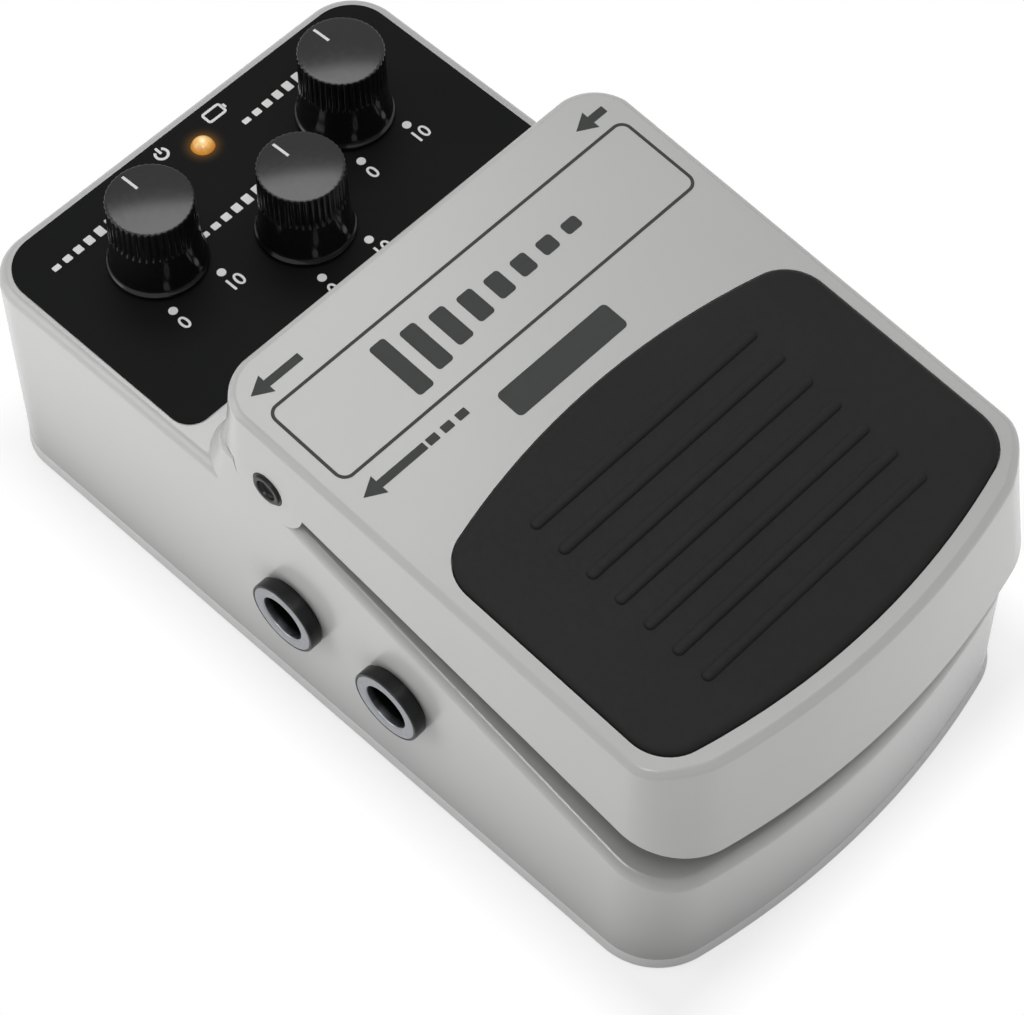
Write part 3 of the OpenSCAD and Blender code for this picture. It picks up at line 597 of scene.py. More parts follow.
def sweep(path, section, upright, closed=False):
    """A closed section carried along a path: side is square to the path and the upright, lift to both."""
    path = np.asarray(path, float)
    if closed:
        ahead = np.roll(path, -1, 0) - np.roll(path, 1, 0)
    else:
        ahead = np.gradient(path, axis=0)
    ahead /= np.linalg.norm(ahead, axis=1, keepdims=True)
    side = np.cross(ahead, upright)
    side /= np.linalg.norm(side, axis=1, keepdims=True)
    lift = np.cross(side, ahead)
    rows = path[:, None] + section[None, :, :1] * side[:, None] + section[None, :, 1:] * lift[:, None]
    if closed:
        rows = np.concatenate([rows, rows[:1]])
    return loft(rows, capped=not closed)


def ring_section(radius, sides=10):
    """A circle as a section."""
    turn = np.linspace(0, 2 * math.pi, sides, endpoint=False)
    return radius * np.stack([np.cos(turn), np.sin(turn)], -1)


def line_section(half, low, high):
    """A rectangle as a section."""
    return np.array([(-half, low), (half, low), (half, high), (-half, high)])


def slab(plan, surface, low, high):
    """A thin plate over a plan that follows a surface, from low to high above it."""
    ground = surface(plan[:, 1])
    rows = np.stack([np.column_stack([plan, ground + low]), np.column_stack([plan, ground + high])])
    return loft(rows)


def numeral(text, cap, place, tall):
    """A plain number as a thin plate, its capitals cap tall, centred at a place."""
    curve = bpy.data.curves.new("numeral", "FONT")
    curve.body = text
    curve.align_x = "CENTER"
    curve.align_y = "CENTER"
    curve.size = cap / 0.7
    curve.offset = 0.02 * cap
    curve.extrude = tall
    curve.resolution_u = 6
    holder = bpy.data.objects.new("numeral", curve)
    bpy.context.scene.collection.objects.link(holder)
    graph = bpy.context.evaluated_depsgraph_get()
    mesh = bpy.data.meshes.new_from_object(holder.evaluated_get(graph))
    points = np.empty(len(mesh.vertices) * 3)
    mesh.vertices.foreach_get("co", points)
    faces = [list(face.vertices) for face in mesh.polygons]
    bpy.data.objects.remove(holder)
    bpy.data.curves.remove(curve)
    bpy.data.meshes.remove(mesh)
    return points.reshape(-1, 3) + np.asarray(place, float), faces


# Pieces


def close_mesh(mesh):
    """Merges a mesh's doubles and turns its faces outwards."""
    work = bmesh.new()
    work.from_mesh(mesh)
    bmesh.ops.remove_doubles(work, verts=work.verts, dist=MERGE * MM)
    bmesh.ops.recalc_face_normals(work, faces=work.faces)
    work.to_mesh(mesh)
    work.free()


def coat_mesh(mesh, coat):
    """Gives a mesh one finish."""
    mesh.materials.clear()
    mesh.materials.append(finish(coat))


def put_piece(name, mesh, coat, body, stands_for=(), crease=32.0, level=False):
    """Makes a mesh a piece: shades it by angle, coats it, rides it on a body and hides what it stands for."""
    mesh.polygons.foreach_set("use_smooth", np.ones(len(mesh.polygons), bool))
    mesh.set_sharp_from_angle(angle=math.radians(crease))
    coat_mesh(mesh, coat)
    piece = bpy.data.objects.new(name, mesh)
    bpy.context.scene.collection.objects.link(piece)
    if level:
        flat = piece.modifiers.new("level faces", "WEIGHTED_NORMAL")
        flat.keep_sharp = True
        flat.weight = 60
    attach(piece, body)
    if stands_for:
        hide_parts(*stands_for)
    return piece


def make_piece(name, shape, coat, body, stands_for=(), crease=32.0, level=False):
    """Makes a piece from a shape's points and faces in millimetres."""
    points, faces = shape
    mesh = bpy.data.meshes.new(name)
    mesh.from_pydata((np.asarray(points) * MM).tolist(), [], faces)
    close_mesh(mesh)
    if not len(mesh.polygons):
        raise RuntimeError(name + " has no faces")
    return put_piece(name, mesh, coat, body, stands_for, crease, level)


def plain_object(name, points, faces):
    """A bare object in millimetres, used only to trim."""
    mesh = bpy.data.meshes.new(name)
    mesh.from_pydata(np.asarray(points).tolist(), [], faces)
    thing = bpy.data.objects.new(name, mesh)
    bpy.context.scene.collection.objects.link(thing)
    return thing


def cad_copy(node):
    """A CAD node's triangles in millimetres, with points that share a place merged."""
    mesh = frame["nodes"][node].data
    points = np.empty(len(mesh.vertices) * 3)
    mesh.vertices.foreach_get("co", points)
    mesh.calc_loop_triangles()
    corners = np.empty(len(mesh.loop_triangles) * 3, int)
    mesh.loop_triangles.foreach_get("vertices", corners)
    places, merged = np.unique(np.round(points.reshape(-1, 3) / MM, 4), axis=0, return_inverse=True)
    faces = merged.ravel()[corners].reshape(-1, 3)
    whole = (faces[:, 0] != faces[:, 1]) & (faces[:, 1] != faces[:, 2]) & (faces[:, 0] != faces[:, 2])
    return places, faces[whole].tolist()


def trimmed_piece(name, node, skins, coat, body):
    """The part of a CAD node inside one of some closed skins, as a piece that stands for the node."""
    solid = plain_object("solid", *cad_copy(node))
    cutters = [plain_object("cutter", *skin) for skin in skins]
    for cutter in cutters:
        close_mesh(cutter.data)
    for more in cutters[1:]:
        trim(cutters[0], more, "UNION")
    trim(solid, cutters[0], "INTERSECT")
    graph = bpy.context.evaluated_depsgraph_get()
    mesh = bpy.data.meshes.new_from_object(solid.evaluated_get(graph))
    mesh.name = name
    for thing in (solid, *cutters):
        old = thing.data
        bpy.data.objects.remove(thing)
        bpy.data.meshes.remove(old)
    if not len(mesh.polygons):
        raise RuntimeError(name + " could not be trimmed")
    mesh.transform(Matrix.Scale(MM, 4))
    return put_piece(name, mesh, coat, body, (node,), level=True)


def trim(thing, other, way):
    """Adds an exact Boolean of one object with another."""
    step = thing.modifiers.new(way.lower(), "BOOLEAN")
    step.operation = way
    step.solver = "EXACT"
    step.object = other


def wall_in(z):
    """How far a drafted wall stands inside its plan at a height."""
    return sizes().wall_draft / MM * z / PANEL_Z


def case_top(y):
    """Height of the case along its length without its crest: the sloping deck, then the level panel."""
    along = [-FAR, DECK_RUN[0], DECK_RUN[1], FAR]
    deck = [DECK_Z0 + place * DECK_SLOPE for place in along[:2]]
    return np.interp(y, along, [*deck, PANEL_Z, PANEL_Z])


def case_skin():
    """Skin that trims the walls: each leans in by the draft, and a quarter circle turns it into the top."""
    s = sizes()
    low, high = cad_box("housing")
    stations = np.concatenate([np.linspace(-60, 7, 40), np.linspace(7.5, 10.5, 7), np.linspace(11, 60, 24)])
    plan, out = plan_outline(high[0], low[1], high[1], (CASE_BOW, STRAIGHT), CASE_CORNERS, stations)
    radius = np.interp(plan[:, 1], DECK_RUN, [s.rim_round / MM, s.panel_round / MM])
    edge = case_top(plan[:, 1]) - radius
    share = np.linspace(0, 1, 10)[:, None]
    wall = inset_rows(plan, out, wall_in(share * edge), share * edge)
    turn = np.linspace(0, math.pi / 2, 12)[1:, None]
    inset = wall_in(edge) + radius * (1 - np.cos(turn))
    tall = case_top(plan[:, 1] - inset * out[:, 1]) - radius * (1 - np.sin(turn)) + OVERLAP * np.sin(turn)
    arc = inset_rows(plan, out, inset, tall)
    inner = inset[-1:] + CLEAR
    roof = inset_rows(plan, out, inner, case_top(plan[:, 1] - inner * out[:, 1]) + CLEAR)
    right = plan[: len(plan) // 2 + 1, 1]
    front = int(np.searchsorted(right, DECK_RUN[0] - 0.6)) - 1
    rear = int(np.searchsorted(right, DECK_RUN[1] + 0.6))
    return roofed(np.concatenate([wall, arc, roof]), front, rear)


def crest_skin():
    """Skin that trims the crest: its rear sweeps down and out to the panel, and a round edges its top."""
    s = sizes()
    half = cad_box("housing")[1][0]
    start = PANEL_Z - 2.3
    top_round = s.ear_round / MM
    share = np.concatenate([[-1, 0], np.linspace(0, 1, 14)[1:]])
    turn = np.linspace(0, math.pi / 2, 8)
    tall = np.where(share < 0, start, PANEL_Z + np.maximum(share, 0) * (CREST_Z - top_round - PANEL_Z))
    rise = np.sin(turn[1:])
    tall = np.concatenate([tall, CREST_Z - top_round + top_round * rise + OVERLAP * rise])
    inset = np.concatenate([0 * share, top_round * (1 - np.cos(turn[1:]))])
    fall = np.clip((CREST_Z - tall) / (CREST_Z - PANEL_Z), 0, 1) ** 1.25
    rear = CREST_REAR + (CREST_FOOT - CREST_REAR) * fall
    corner = CREST_CORNERS[1] + (CREST_CORNERS[0] - CREST_CORNERS[1]) * fall
    stations = np.linspace(6, 14, 9)
    rows = []
    for z, back, turned_by, more in zip(tall, rear, corner, inset):
        side = half - wall_in(z) - CREST_IN
        plan, out = plan_outline(side, CREST_START, back, (STRAIGHT, STRAIGHT), (0.5, turned_by), stations)
        rows.append(inset_rows(plan, out, np.full(len(plan), more), np.full(len(plan), z)))
    return loft(np.stack(rows))


def seat_block():
    """Block that keeps the seats and bosses above the deck: its underside follows the other skins' roof."""
    along = np.array([-30.0, CREST_START, CREST_START, 12.5, 12.5, -30.0])
    tall = case_top(along)
    tall[2:4] = CREST_Z
    tall[4:] = ABOVE
    rows = [np.column_stack([np.full(len(along), x), along, tall]) for x in (-30.38, 30.38)]
    return loft(np.stack(rows))


def band_skin():
    """Skin that trims the base plate: its face slopes out from the wall's foot to the floor."""
    low, high = cad_box("base_plate")
    stations = np.linspace(-60, 60, 30)
    corners = tuple(r + BASE_REACH for r in CASE_CORNERS)
    plan, out = plan_outline(high[0], low[1], high[1], (CASE_BOW + BASE_REACH, STRAIGHT), corners, stations)
    reach = BASE_REACH * (1 - np.maximum(out[:, 1], 0))
    share = np.array([0, 0, 0, 0.06, 0.9, 1, 1, 1])[:, None]
    inset = np.array([0.25, 0.14, 0.03, 0.01, 0.0, 0.05, 0.09, 0.09])[:, None] + share * reach
    tall = np.array([low[2] - 0.2, low[2], low[2] + 0.1, low[2] + 0.2, BASE_TOP - 0.12, BASE_TOP + OVERLAP,
                     BASE_TOP + 0.1, ABOVE])
    return loft(inset_rows(plan, out, inset, tall[:, None]))


def label_top(y):
    """Height of the label, the same all along."""
    return LABEL_Z + 0 * y


def tread_top(y):
    """Height of the treadle's sloping top."""
    return TREAD_Z0 + TREAD_SLOPE * y


def edge_profile():
    """Inset and rise of the treadle's edge: a bevel whose two turns are softened."""
    s = sizes()
    bevel, drop, turn = (size / MM for size in (s.tread_bevel, s.tread_drop, s.tread_round))
    corners = [(0, -drop - 1), (0, -drop), (bevel, 0), (bevel + 1, 0)]
    return soften(corners, turn)[6:-6].T


def ease(value):
    """Smooth step from 0 to 1."""
    value = np.clip(value, 0, 1)
    return value * value * (3 - 2 * value)


def tread_skin():
    """Skin that trims the treadle: its nose leans out downwards, its rear in, and a bevel rims its top."""
    low, high = cad_box("treadle")
    stations = np.linspace(-60, 16, 50)
    plan, out = plan_outline(
        high[0] - CLEAR, low[1] + CLEAR, high[1] - CLEAR, (CASE_BOW, STRAIGHT), TREAD_CORNERS, stations
    )
    nose = ease(-out[:, 1] / NOSE_TURN) * NOSE_LEAN
    rear = np.maximum(out[:, 1], 0) * REAR_LEAN
    side = np.abs(out[:, 0]) * SIDE_LEAN
    skirt = np.minimum(SKIRT_Z0 + SKIRT_SLOPE * plan[:, 1], REAR_FOOT_Z)

    def lean(tall):
        up = np.maximum(tall - REAR_FOOT_Z, 0)
        return nose * (tall - NOSE_LIP_Z) + rear * up + side * np.maximum(tall - skirt, 0)

    edge_in, edge_up = (part[:, None] for part in edge_profile())
    tall = tread_top(plan[:, 1]) + 0 * edge_up
    over = OVERLAP * (1 + edge_up / -edge_up.min())
    for _ in range(4):
        inset = lean(tall) + edge_in
        tall = tread_top(plan[:, 1] - inset * out[:, 1]) + edge_up + over
    foot = low[2] - 4
    share = np.linspace(0, 1, 14)[:-1, None]
    wall_tall = foot + share * (tall[0] - foot)
    wall = inset_rows(plan, out, lean(wall_tall), wall_tall)
    inner = inset[-1] + CLEAR
    shaft = inset_rows(plan, out, np.stack([inner, inner]), np.stack([tall[-1] + CLEAR, 0 * inner + ABOVE]))
    return loft(np.concatenate([wall, inset_rows(plan, out, inset, tall), shaft]))


class PEDAL_OT_case(bpy.types.Operator):
    """Trims the case to drafted walls and a rounded rim, the base plate to its band, and adds the feet"""

    bl_idname = "pedal.case"
    bl_label = "Case, base plate and feet"

    def execute(self, context):
        skins = [case_skin(), crest_skin()]
        trimmed_piece("housing_shell", "housing", skins, "satin_case", "case")
        trimmed_piece("housing_seats", "housing", [seat_block()], "satin_case", "case")
        trimmed_piece("base_band", "base_plate", [band_skin()], "band_paint", "case")
        low, high = cad_box("rubber_feet")
        radius = 5.0
        corners = [(0, 0.1), (radius - 1, 0), (radius, 0.4), (radius, high[2]), (0, high[2])]
        profile = soften(corners, [0, 0.5, 0.5, 0.1, 0])
        across = (low[0] + radius, high[0] - radius)
        along = (low[1] + radius, high[1] - radius)
        places = [(x, y, 0) for x in across for y in along]
        feet = [turned(profile[:, 0], profile[:, 1], place, sides=48) for place in places]
        make_piece("foot_pads", join(feet), "mat_rubber", "case", ("rubber_feet",))
        return {"FINISHED"}


class PEDAL_OT_label(bpy.types.Operator):
    """Coats the label and prints its dots, dial numbers and signs"""

    bl_idname = "pedal.label"
    bl_label = "Label and its print"

    def execute(self, context):
        coat_mesh(frame["nodes"]["panel_overlay"].data, "label_film")
        marks = []
        for dial in KNOBS:
            low, high = cad_box("knob_" + dial)
            x, y = ((low + high) / 2)[:2]
            for side, number in ((-1, "0"), (1, "10")):
                dot = ring_section(DOT_RADIUS, 28) + (x + side * DOT_PLACE[0], y + DOT_PLACE[1])
                spot = (x + side * NUMBER_PLACE[0], y + NUMBER_PLACE[1], LABEL_Z)
                marks.append(self.mark(dot))
                marks.append(numeral(number, NUMBER_CAP, spot, LABEL_PROUD))
            for step in range(11):
                left = x + BAR_START + BAR_STEP * step
                top = y + BAR_TOP + BAR_RISE * step
                marks.append(self.mark(round_box((left, y + BAR_FOOT), (left + BAR_WIDE, top), 0.15)))
        marks += self.lamp_signs()
        make_piece("label_print", join(marks), "print_white", "case")
        return {"FINISHED"}

    def mark(self, plan):
        """A thin plate over a plan on the label."""
        return slab(plan, label_top, PRINT_SUNK, LABEL_PROUD)

    def lamp_signs(self):
        """A power sign and a battery sign beside the lamp, as rings and plates."""
        turn = np.radians(np.linspace(128, 412, 30))
        x = -4.6 + 0.85 * np.cos(turn)
        y = 57.45 + 0.85 * np.sin(turn)
        ring = np.column_stack([x, y, np.full(len(turn), LABEL_Z)])
        band = line_section(0.19, PRINT_SUNK, LABEL_PROUD)
        stem = round_box((-4.79, 57.5), (-4.41, 58.7), 0.1)
        cell = round_box((3.2, 56.7), (6.0, 58.3), 0.3, 5)
        can = np.column_stack([cell, np.full(len(cell), LABEL_Z)])
        knob = round_box((6.1, 57.15), (6.55, 57.85), 0.1)
        return [
            sweep(ring, band, (0, 0, 1)),
            self.mark(stem),
            sweep(can, band, (0, 0, 1), closed=True),
            self.mark(knob),
        ]


class PEDAL_OT_knobs(bpy.types.Operator):
    """Turns the three fluted knobs and lays their pointer lines"""

    bl_idname = "pedal.knobs"
    bl_label = "Knobs and pointer lines"

    def execute(self, context):
        for dial in KNOBS:
            low, high = cad_box("knob_" + dial)
            middle = np.array([(low[0] + high[0]) / 2, (low[1] + high[1]) / 2, 0])
            make_piece(
                "knob_cap_" + dial, self.cap(low[2], high[2], middle), "knob_satin", "dial_" + dial,
                ("knob_" + dial,), crease=50.0,
            )
            make_piece(
                "knob_line_" + dial, self.line(high[2], middle), "print_white", "dial_" + dial,
                ("pointer_" + dial,),
            )
        return {"FINISHED"}

    def cap(self, foot, top, middle):
        """Turned profile of flange, flare, taper, grip and shallow dome; cosine flutes cut the grip."""
        s = sizes()
        corners = np.array([
            (2.9, foot + 0.05), (2.9, foot), (6.3, foot), (6.5, foot + 0.2), (6.5, foot + 0.5),
            (6.12, foot + 0.85), (5.98, foot + 1.5), (KNOB_WAIST, top - KNOB_GRIP),
            (KNOB_RIM, self.dome(KNOB_RIM, top)), (KNOB_CROWN, self.dome(KNOB_CROWN, top)),
        ])
        reach = [0, 0, 0.1, 0.1, 0.15, 0.3, 0.5, 0.6, 0.22, 0]
        across = np.linspace(5.0, 0, 12)
        crown = np.column_stack([across, self.dome(across, top)])
        profile = np.concatenate([soften(corners, reach, steps=8), crown])
        long = np.linspace(top - 6.0, top - 0.5, 26)
        grip = np.column_stack([np.interp(long, [top - KNOB_GRIP, top], [KNOB_WAIST, KNOB_RIM]), long])
        below = profile[profile[:, 1] <= top - 6.0]
        over = profile[profile[:, 1] > top - 0.5]
        profile = np.concatenate([below, grip, over])
        turn = np.linspace(0, 2 * math.pi, s.flutes * 10, endpoint=False)
        wave = ((1 - np.cos(turn * s.flutes)) / 2) ** 2
        rim = np.clip((profile[:, 0] - 5.05) / 0.4, 0, 1) * np.clip((top - 0.1 - profile[:, 1]) / 0.7, 0.2, 1)
        end = np.sqrt(np.clip((profile[:, 1] - (top - 5.7)) / 0.7, 0, 1)) * rim
        radius = profile[:, :1] - s.flute_depth / MM * end[:, None] * wave
        return turned(radius, profile[:, 1], middle, sides=len(turn))

    def dome(self, across, top):
        """Height of the dome: it falls from the top with the square of the distance from the middle."""
        return top - 0.22 * (across / KNOB_CROWN) ** 2

    def line(self, top, middle):
        """A narrow bar that follows the dome from near the rim to the middle of the radius."""
        along = np.linspace(2.1, 4.85, 12)
        path = np.column_stack([0 * along, along, self.dome(along, top)]) + middle
        return sweep(path, line_section(0.19, -0.15, LABEL_PROUD), (0, 0, 1))


class PEDAL_OT_lamp(bpy.types.Operator):
    """Turns the lit lamp with its flange and legs"""

    bl_idname = "pedal.lamp"
    bl_label = "Lamp"

    def execute(self, context):
        low, high = cad_box("power_lamp")
        middle = np.array([0, (low[1] + high[1]) / 2, 0])
        flange = 1.9
        neck = LAMP_FOOT + 1.0
        turn = np.linspace(0, math.pi / 2, 16)
        rise = high[2] - LAMP_RADIUS + LAMP_RADIUS * np.sin(turn)
        dome = np.column_stack([LAMP_RADIUS * np.cos(turn), rise])
        body = np.array([(0, LAMP_FOOT), (flange, LAMP_FOOT), (flange, neck), (LAMP_RADIUS, neck)])
        profile = np.concatenate([body, dome])
        ends = [low[2], low[2], LAMP_FOOT + 0.1, LAMP_FOOT + 0.1]
        legs = [turned([0, 0.25, 0.25, 0], ends, middle + (x, 0, 0), sides=12) for x in (-0.9, 0.9)]
        lens = turned(profile[:, 0], profile[:, 1], middle, sides=64)
        make_piece("lamp_dome", join([lens, *legs]), "lamp_lit", "case", ("power_lamp",))
        return {"FINISHED"}


class PEDAL_OT_treadle(bpy.types.Operator):
    """Trims the treadle to its leaning nose and bevelled rim"""

    bl_idname = "pedal.treadle"
    bl_label = "Treadle"

    def execute(self, context):
        trimmed_piece("treadle_shell", "treadle", [tread_skin()], "satin_treadle", "treadle")
        return {"FINISHED"}


class PEDAL_OT_mat(bpy.types.Operator):
    """Moulds the rubber mat with its rounded border and grip ribs"""

    bl_idname = "pedal.mat"
    bl_label = "Rubber mat"

    def execute(self, context):
        s = sizes()
        low, high = cad_box("treadle_pad")
        stations = np.linspace(-60, 0, 30)
        plan, out = plan_outline(
            high[0], low[1], high[1], (MAT_BOW, MAT_BOW), (MAT_CORNER, MAT_CORNER), stations
        )
        border = s.mat_border / MM
        turn = np.linspace(0, math.pi / 2, 10)
        inset = np.concatenate([[0, 0], border * (1 - np.cos(turn))])[:, None] + 0 * plan[:, 0]
        lift = np.concatenate([[-MAT_SUNK, -0.1], -0.1 + (MAT_PROUD + 0.1) * np.sin(turn)])[:, None]
        tall = tread_top(plan[:, 1] - inset * out[:, 1]) + lift
        parts = [loft(inset_rows(plan, out, inset, tall))]
        parts += self.ribs(s.rib_height / MM, low, high)
        make_piece("treadle_mat", join(parts), "mat_rubber", "treadle", ("treadle_pad",))
        return {"FINISHED"}

    def ribs(self, tall, low, high):
        """Straight ribs across the mat: a rounded plan whose rows close in as they rise."""
        middle = (low[1] + high[1]) / 2
        half = 19.0
        wide = 0.75
        steps = ((0.0, -0.4), (0.0, 0.0), (0.1, 0.55 * tall), (0.3, 0.9 * tall), (0.55, tall))
        shapes = []
        for step in range(-3, 4):
            y = middle + 4.4 * step
            rows = []
            for inset, lift in steps:
                near = (-half + inset, y - wide + inset)
                far = (half - inset, y + wide - inset)
                plan = round_box(near, far, 0.74 - inset)
                rows.append(np.column_stack([plan, tread_top(plan[:, 1]) + MAT_PROUD + lift]))
            shapes.append(loft(np.stack(rows)))
        return shapes


class PEDAL_OT_print(bpy.types.Operator):
    """Prints the frame line, bars, plate and arrows on the treadle"""

    bl_idname = "pedal.print"
    bl_label = "Treadle print"

    def execute(self, context):
        half = sizes().line_width / MM / 2
        side, front, rear = FRAME_EDGE
        edge = round_box((-side + half, front + half), (side - half, rear - half), 1.4, 10)
        band = line_section(half, PRINT_SUNK, PRINT_PROUD)
        line = np.column_stack([edge, tread_top(edge[:, 1])])
        parts = [sweep(line, band, (0, 0, 1), closed=True)]
        for step in range(8):
            left = FALL_START[0] + FALL_STEP * step
            tall = FALL_TALL * FALL_SHARE**step
            near = (left, FALL_START[1] - tall / 2)
            far = (left + FALL_WIDE, FALL_START[1] + tall / 2)
            parts.append(self.plate(near, far, 0.5))
        parts.append(self.plate(*PLATE, 0.7))
        for tip, tail, y in ARROWS:
            parts += self.arrow(tip, tail, y)
        parts += [self.plate((x, -6.05), (x + 1.6, -4.95), 0.15) for x in DASHES]
        make_piece("treadle_print", join(parts), "print_dark", "treadle")
        return {"FINISHED"}

    def plate(self, low, high, radius):
        """A flat rectangle with round corners on the treadle's top."""
        return slab(round_box(low, high, radius), tread_top, PRINT_SUNK, PRINT_PROUD)

    def arrow(self, tip, tail, y):
        """A three-cornered head and a straight shaft, pointing to the left."""
        neck = tip + 2.6
        half = 0.55
        barb = 1.45
        shaft = self.plate((neck, y - half), (tail, y + half), 0.1)
        corners = np.array([(tip, y), (neck, y - barb), (neck, y + barb)])
        return [shaft, slab(corners, tread_top, PRINT_SUNK, PRINT_PROUD)]


class PEDAL_OT_pins(bpy.types.Operator):
    """Turns the stepped, dished hinge pins"""

    bl_idname = "pedal.pins"
    bl_label = "Hinge pins"

    def execute(self, context):
        low, high = cad_box("hinge_pin_right")
        face = high[0]
        corners = [
            (0, low[0]), (1.5, low[0]), (1.5, 26.15), (3.4, 26.15), (3.4, 27.35), (2.4, 27.35),
            (2.4, face - 0.3), (2.1, face - 0.3), (2.1, face), (1.5, face), (1.35, face - 0.55),
            (0, face - 0.6),
        ]
        profile = soften(corners, [0, 0.2, 0, 0.2, 0.2, 0, 0.14, 0.05, 0.14, 0.14, 0.2, 0])
        for side, way in (("left", -1), ("right", 1)):
            pin = turned(profile[:, 0], profile[:, 1] * way, (0, HINGE_Y, HINGE_Z), axis="x", sides=64)
            make_piece(
                "pin_cap_" + side, pin, "collar_satin", "pin_" + side,
                ("hinge_pin_" + side,),
            )
        return {"FINISHED"}


class PEDAL_OT_sockets(bpy.types.Operator):
    """Turns the collars and bright bushings of the three plug sockets"""

    bl_idname = "pedal.sockets"
    bl_label = "Socket collars and bushings"

    def execute(self, context):
        half = cad_box("housing")[1][0]
        wall = half - wall_in(SOCKET_Z)
        for socket in SOCKETS:
            low, high = cad_box(socket + "_jack_collar")
            way = 1 if high[0] > 0 else -1
            place = (0, (low[1] + high[1]) / 2, SOCKET_Z)
            face = max(abs(low[0]), abs(high[0]))
            collar = [
                (THREAD, wall - 0.02), (NECK, wall - 0.02), (NECK, half + 0.15), (RIM, half + 0.25),
                (RIM, face), (LIP, face), (LIP, face - 0.14), (THREAD, face - 0.14),
            ]
            reach = [0, 0, 0.05, 0.12, 0.22, 0.1, 0, 0]
            self.ring("socket_collar_" + socket, collar, reach, place, way, "collar_satin", "collar_black",
                      socket + "_jack_collar")
            bushing = [
                (BORE, BUSHING_BACK), (4.5, BUSHING_BACK), (4.5, face - 0.14), (4.82, face - 0.13),
                (4.82, face - 0.01), (BORE, face - 0.01),
            ]
            self.ring("socket_bushing_" + socket, bushing, [0.05, 0.05, 0, 0.02, 0.05, 0.3], place, way,
                      "socket_plate", "socket_chrome", socket + "_jack_bushing")
        return {"FINISHED"}

    def ring(self, name, corners, reach, place, way, coat, slot, node):
        """A closed profile carried round the socket's axis."""
        profile = soften(corners, reach, closed=True)
        shape = turned(profile[:, 0], profile[:, 1] * way, place, axis="x", closed=True)
        make_piece(name, shape, coat, "case", (node,))


class PEDAL_OT_springs(bpy.types.Operator):
    """Winds the return springs and pin springs, and lays the battery leads"""

    bl_idname = "pedal.springs"
    bl_label = "Springs and leads"

    def execute(self, context):
        for side in ("left", "right"):
            self.return_coil(side)
            self.pin_coil(side)
        self.leads()
        return {"FINISHED"}

    def coil(self, start, end, radius, wire, turns):
        """Round wire along a helix: the angle goes round turns times while it climbs from start to end."""
        share = np.linspace(0, 1, 36 * turns)
        turn = 2 * math.pi * turns * share
        rise = start + wire + (end - start - 2 * wire) * np.clip((share * turns - 0.75) / (turns - 1.5), 0, 1)
        return np.cos(turn) * (radius - wire), np.sin(turn) * (radius - wire), rise

    def return_coil(self, side):
        """A coil that stands on the deck under the treadle."""
        node = "treadle_spring_" + side
        low, high = cad_box(node)
        x, y, rise = self.coil(low[2], high[2], *RETURN_COIL)
        path = np.column_stack([x + (low[0] + high[0]) / 2, y + (low[1] + high[1]) / 2, rise])
        shape = sweep(path, ring_section(RETURN_COIL[1]), (0, 0, 1))
        piece = make_piece("return_coil_" + side, shape, "zinc_steel", "case", (node,))
        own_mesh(piece)

    def pin_coil(self, side):
        """A coil about the hinge axis."""
        node = "pin_spring_" + side
        low, high = cad_box(node)
        way = 1 if high[0] > 0 else -1
        inner, outer = sorted((abs(low[0]), abs(high[0])))
        x, y, rise = self.coil(inner, outer, *PIN_COIL)
        path = np.column_stack([rise * way, x + HINGE_Y, y + HINGE_Z])
        shape = sweep(path, ring_section(PIN_COIL[1]), (1, 0, 0))
        piece = make_piece("pin_coil_" + side, shape, "zinc_steel", "case", (node,))
        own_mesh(piece)

    def leads(self):
        """Two sleeved wires, each a round section carried along a smooth curve through its route."""
        shapes = []
        for k in (0, 1):
            route = np.array([
                (23.42, -30 - 2 * k, 14 + k), (24.42, -30 - 2 * k, 14 + k), (25.6, -26 - 1.5 * k, 17 + k),
                (23.4, -22.5, 18.2 + 1.4 * k), (21, -17.5, 18 + 1.4 * k), (19 - 2.2 * k, -10.6, 16),
                (19 - 2.2 * k, -10, 14), (19 - 2.2 * k, -10, 12.22),
            ])
            shapes.append(sweep(self.smooth(route), ring_section(0.6, 12), (0.2, 0.3, 1)))
        make_piece("lead_wires", join(shapes), "lead_red", "case", ("battery_leads",))

    def smooth(self, route, steps=8):
        """A cubic through the route's points, whose slope at each is half the way between its neighbours."""
        slope = np.gradient(route, axis=0)
        t = np.linspace(0, 1, steps, endpoint=False)[None, :, None]
        start, end = route[:-1, None], route[1:, None]
        leave, reach = slope[:-1, None], slope[1:, None]
        curve = (
            (2 * t**3 - 3 * t**2 + 1) * start + (t**3 - 2 * t**2 + t) * leave
            + (3 * t**2 - 2 * t**3) * end + (t**3 - t**2) * reach
        )
        return np.concatenate([curve.reshape(-1, 3), route[-1:]])


class PEDAL_OT_inside(bpy.types.Operator):
    """Coats the CAD parts that stay as they are, by their material slots"""

    bl_idname = "pedal.inside"
    bl_label = "Remaining parts"

    def execute(self, context):
        for part in frame["record"]["subparts"]:
            thing = frame["nodes"][part["node"]]
            if not thing.hide_render:
                coat_mesh(thing.data, SLOT_FINISH[part["material_slot"]])
        return {"FINISHED"}


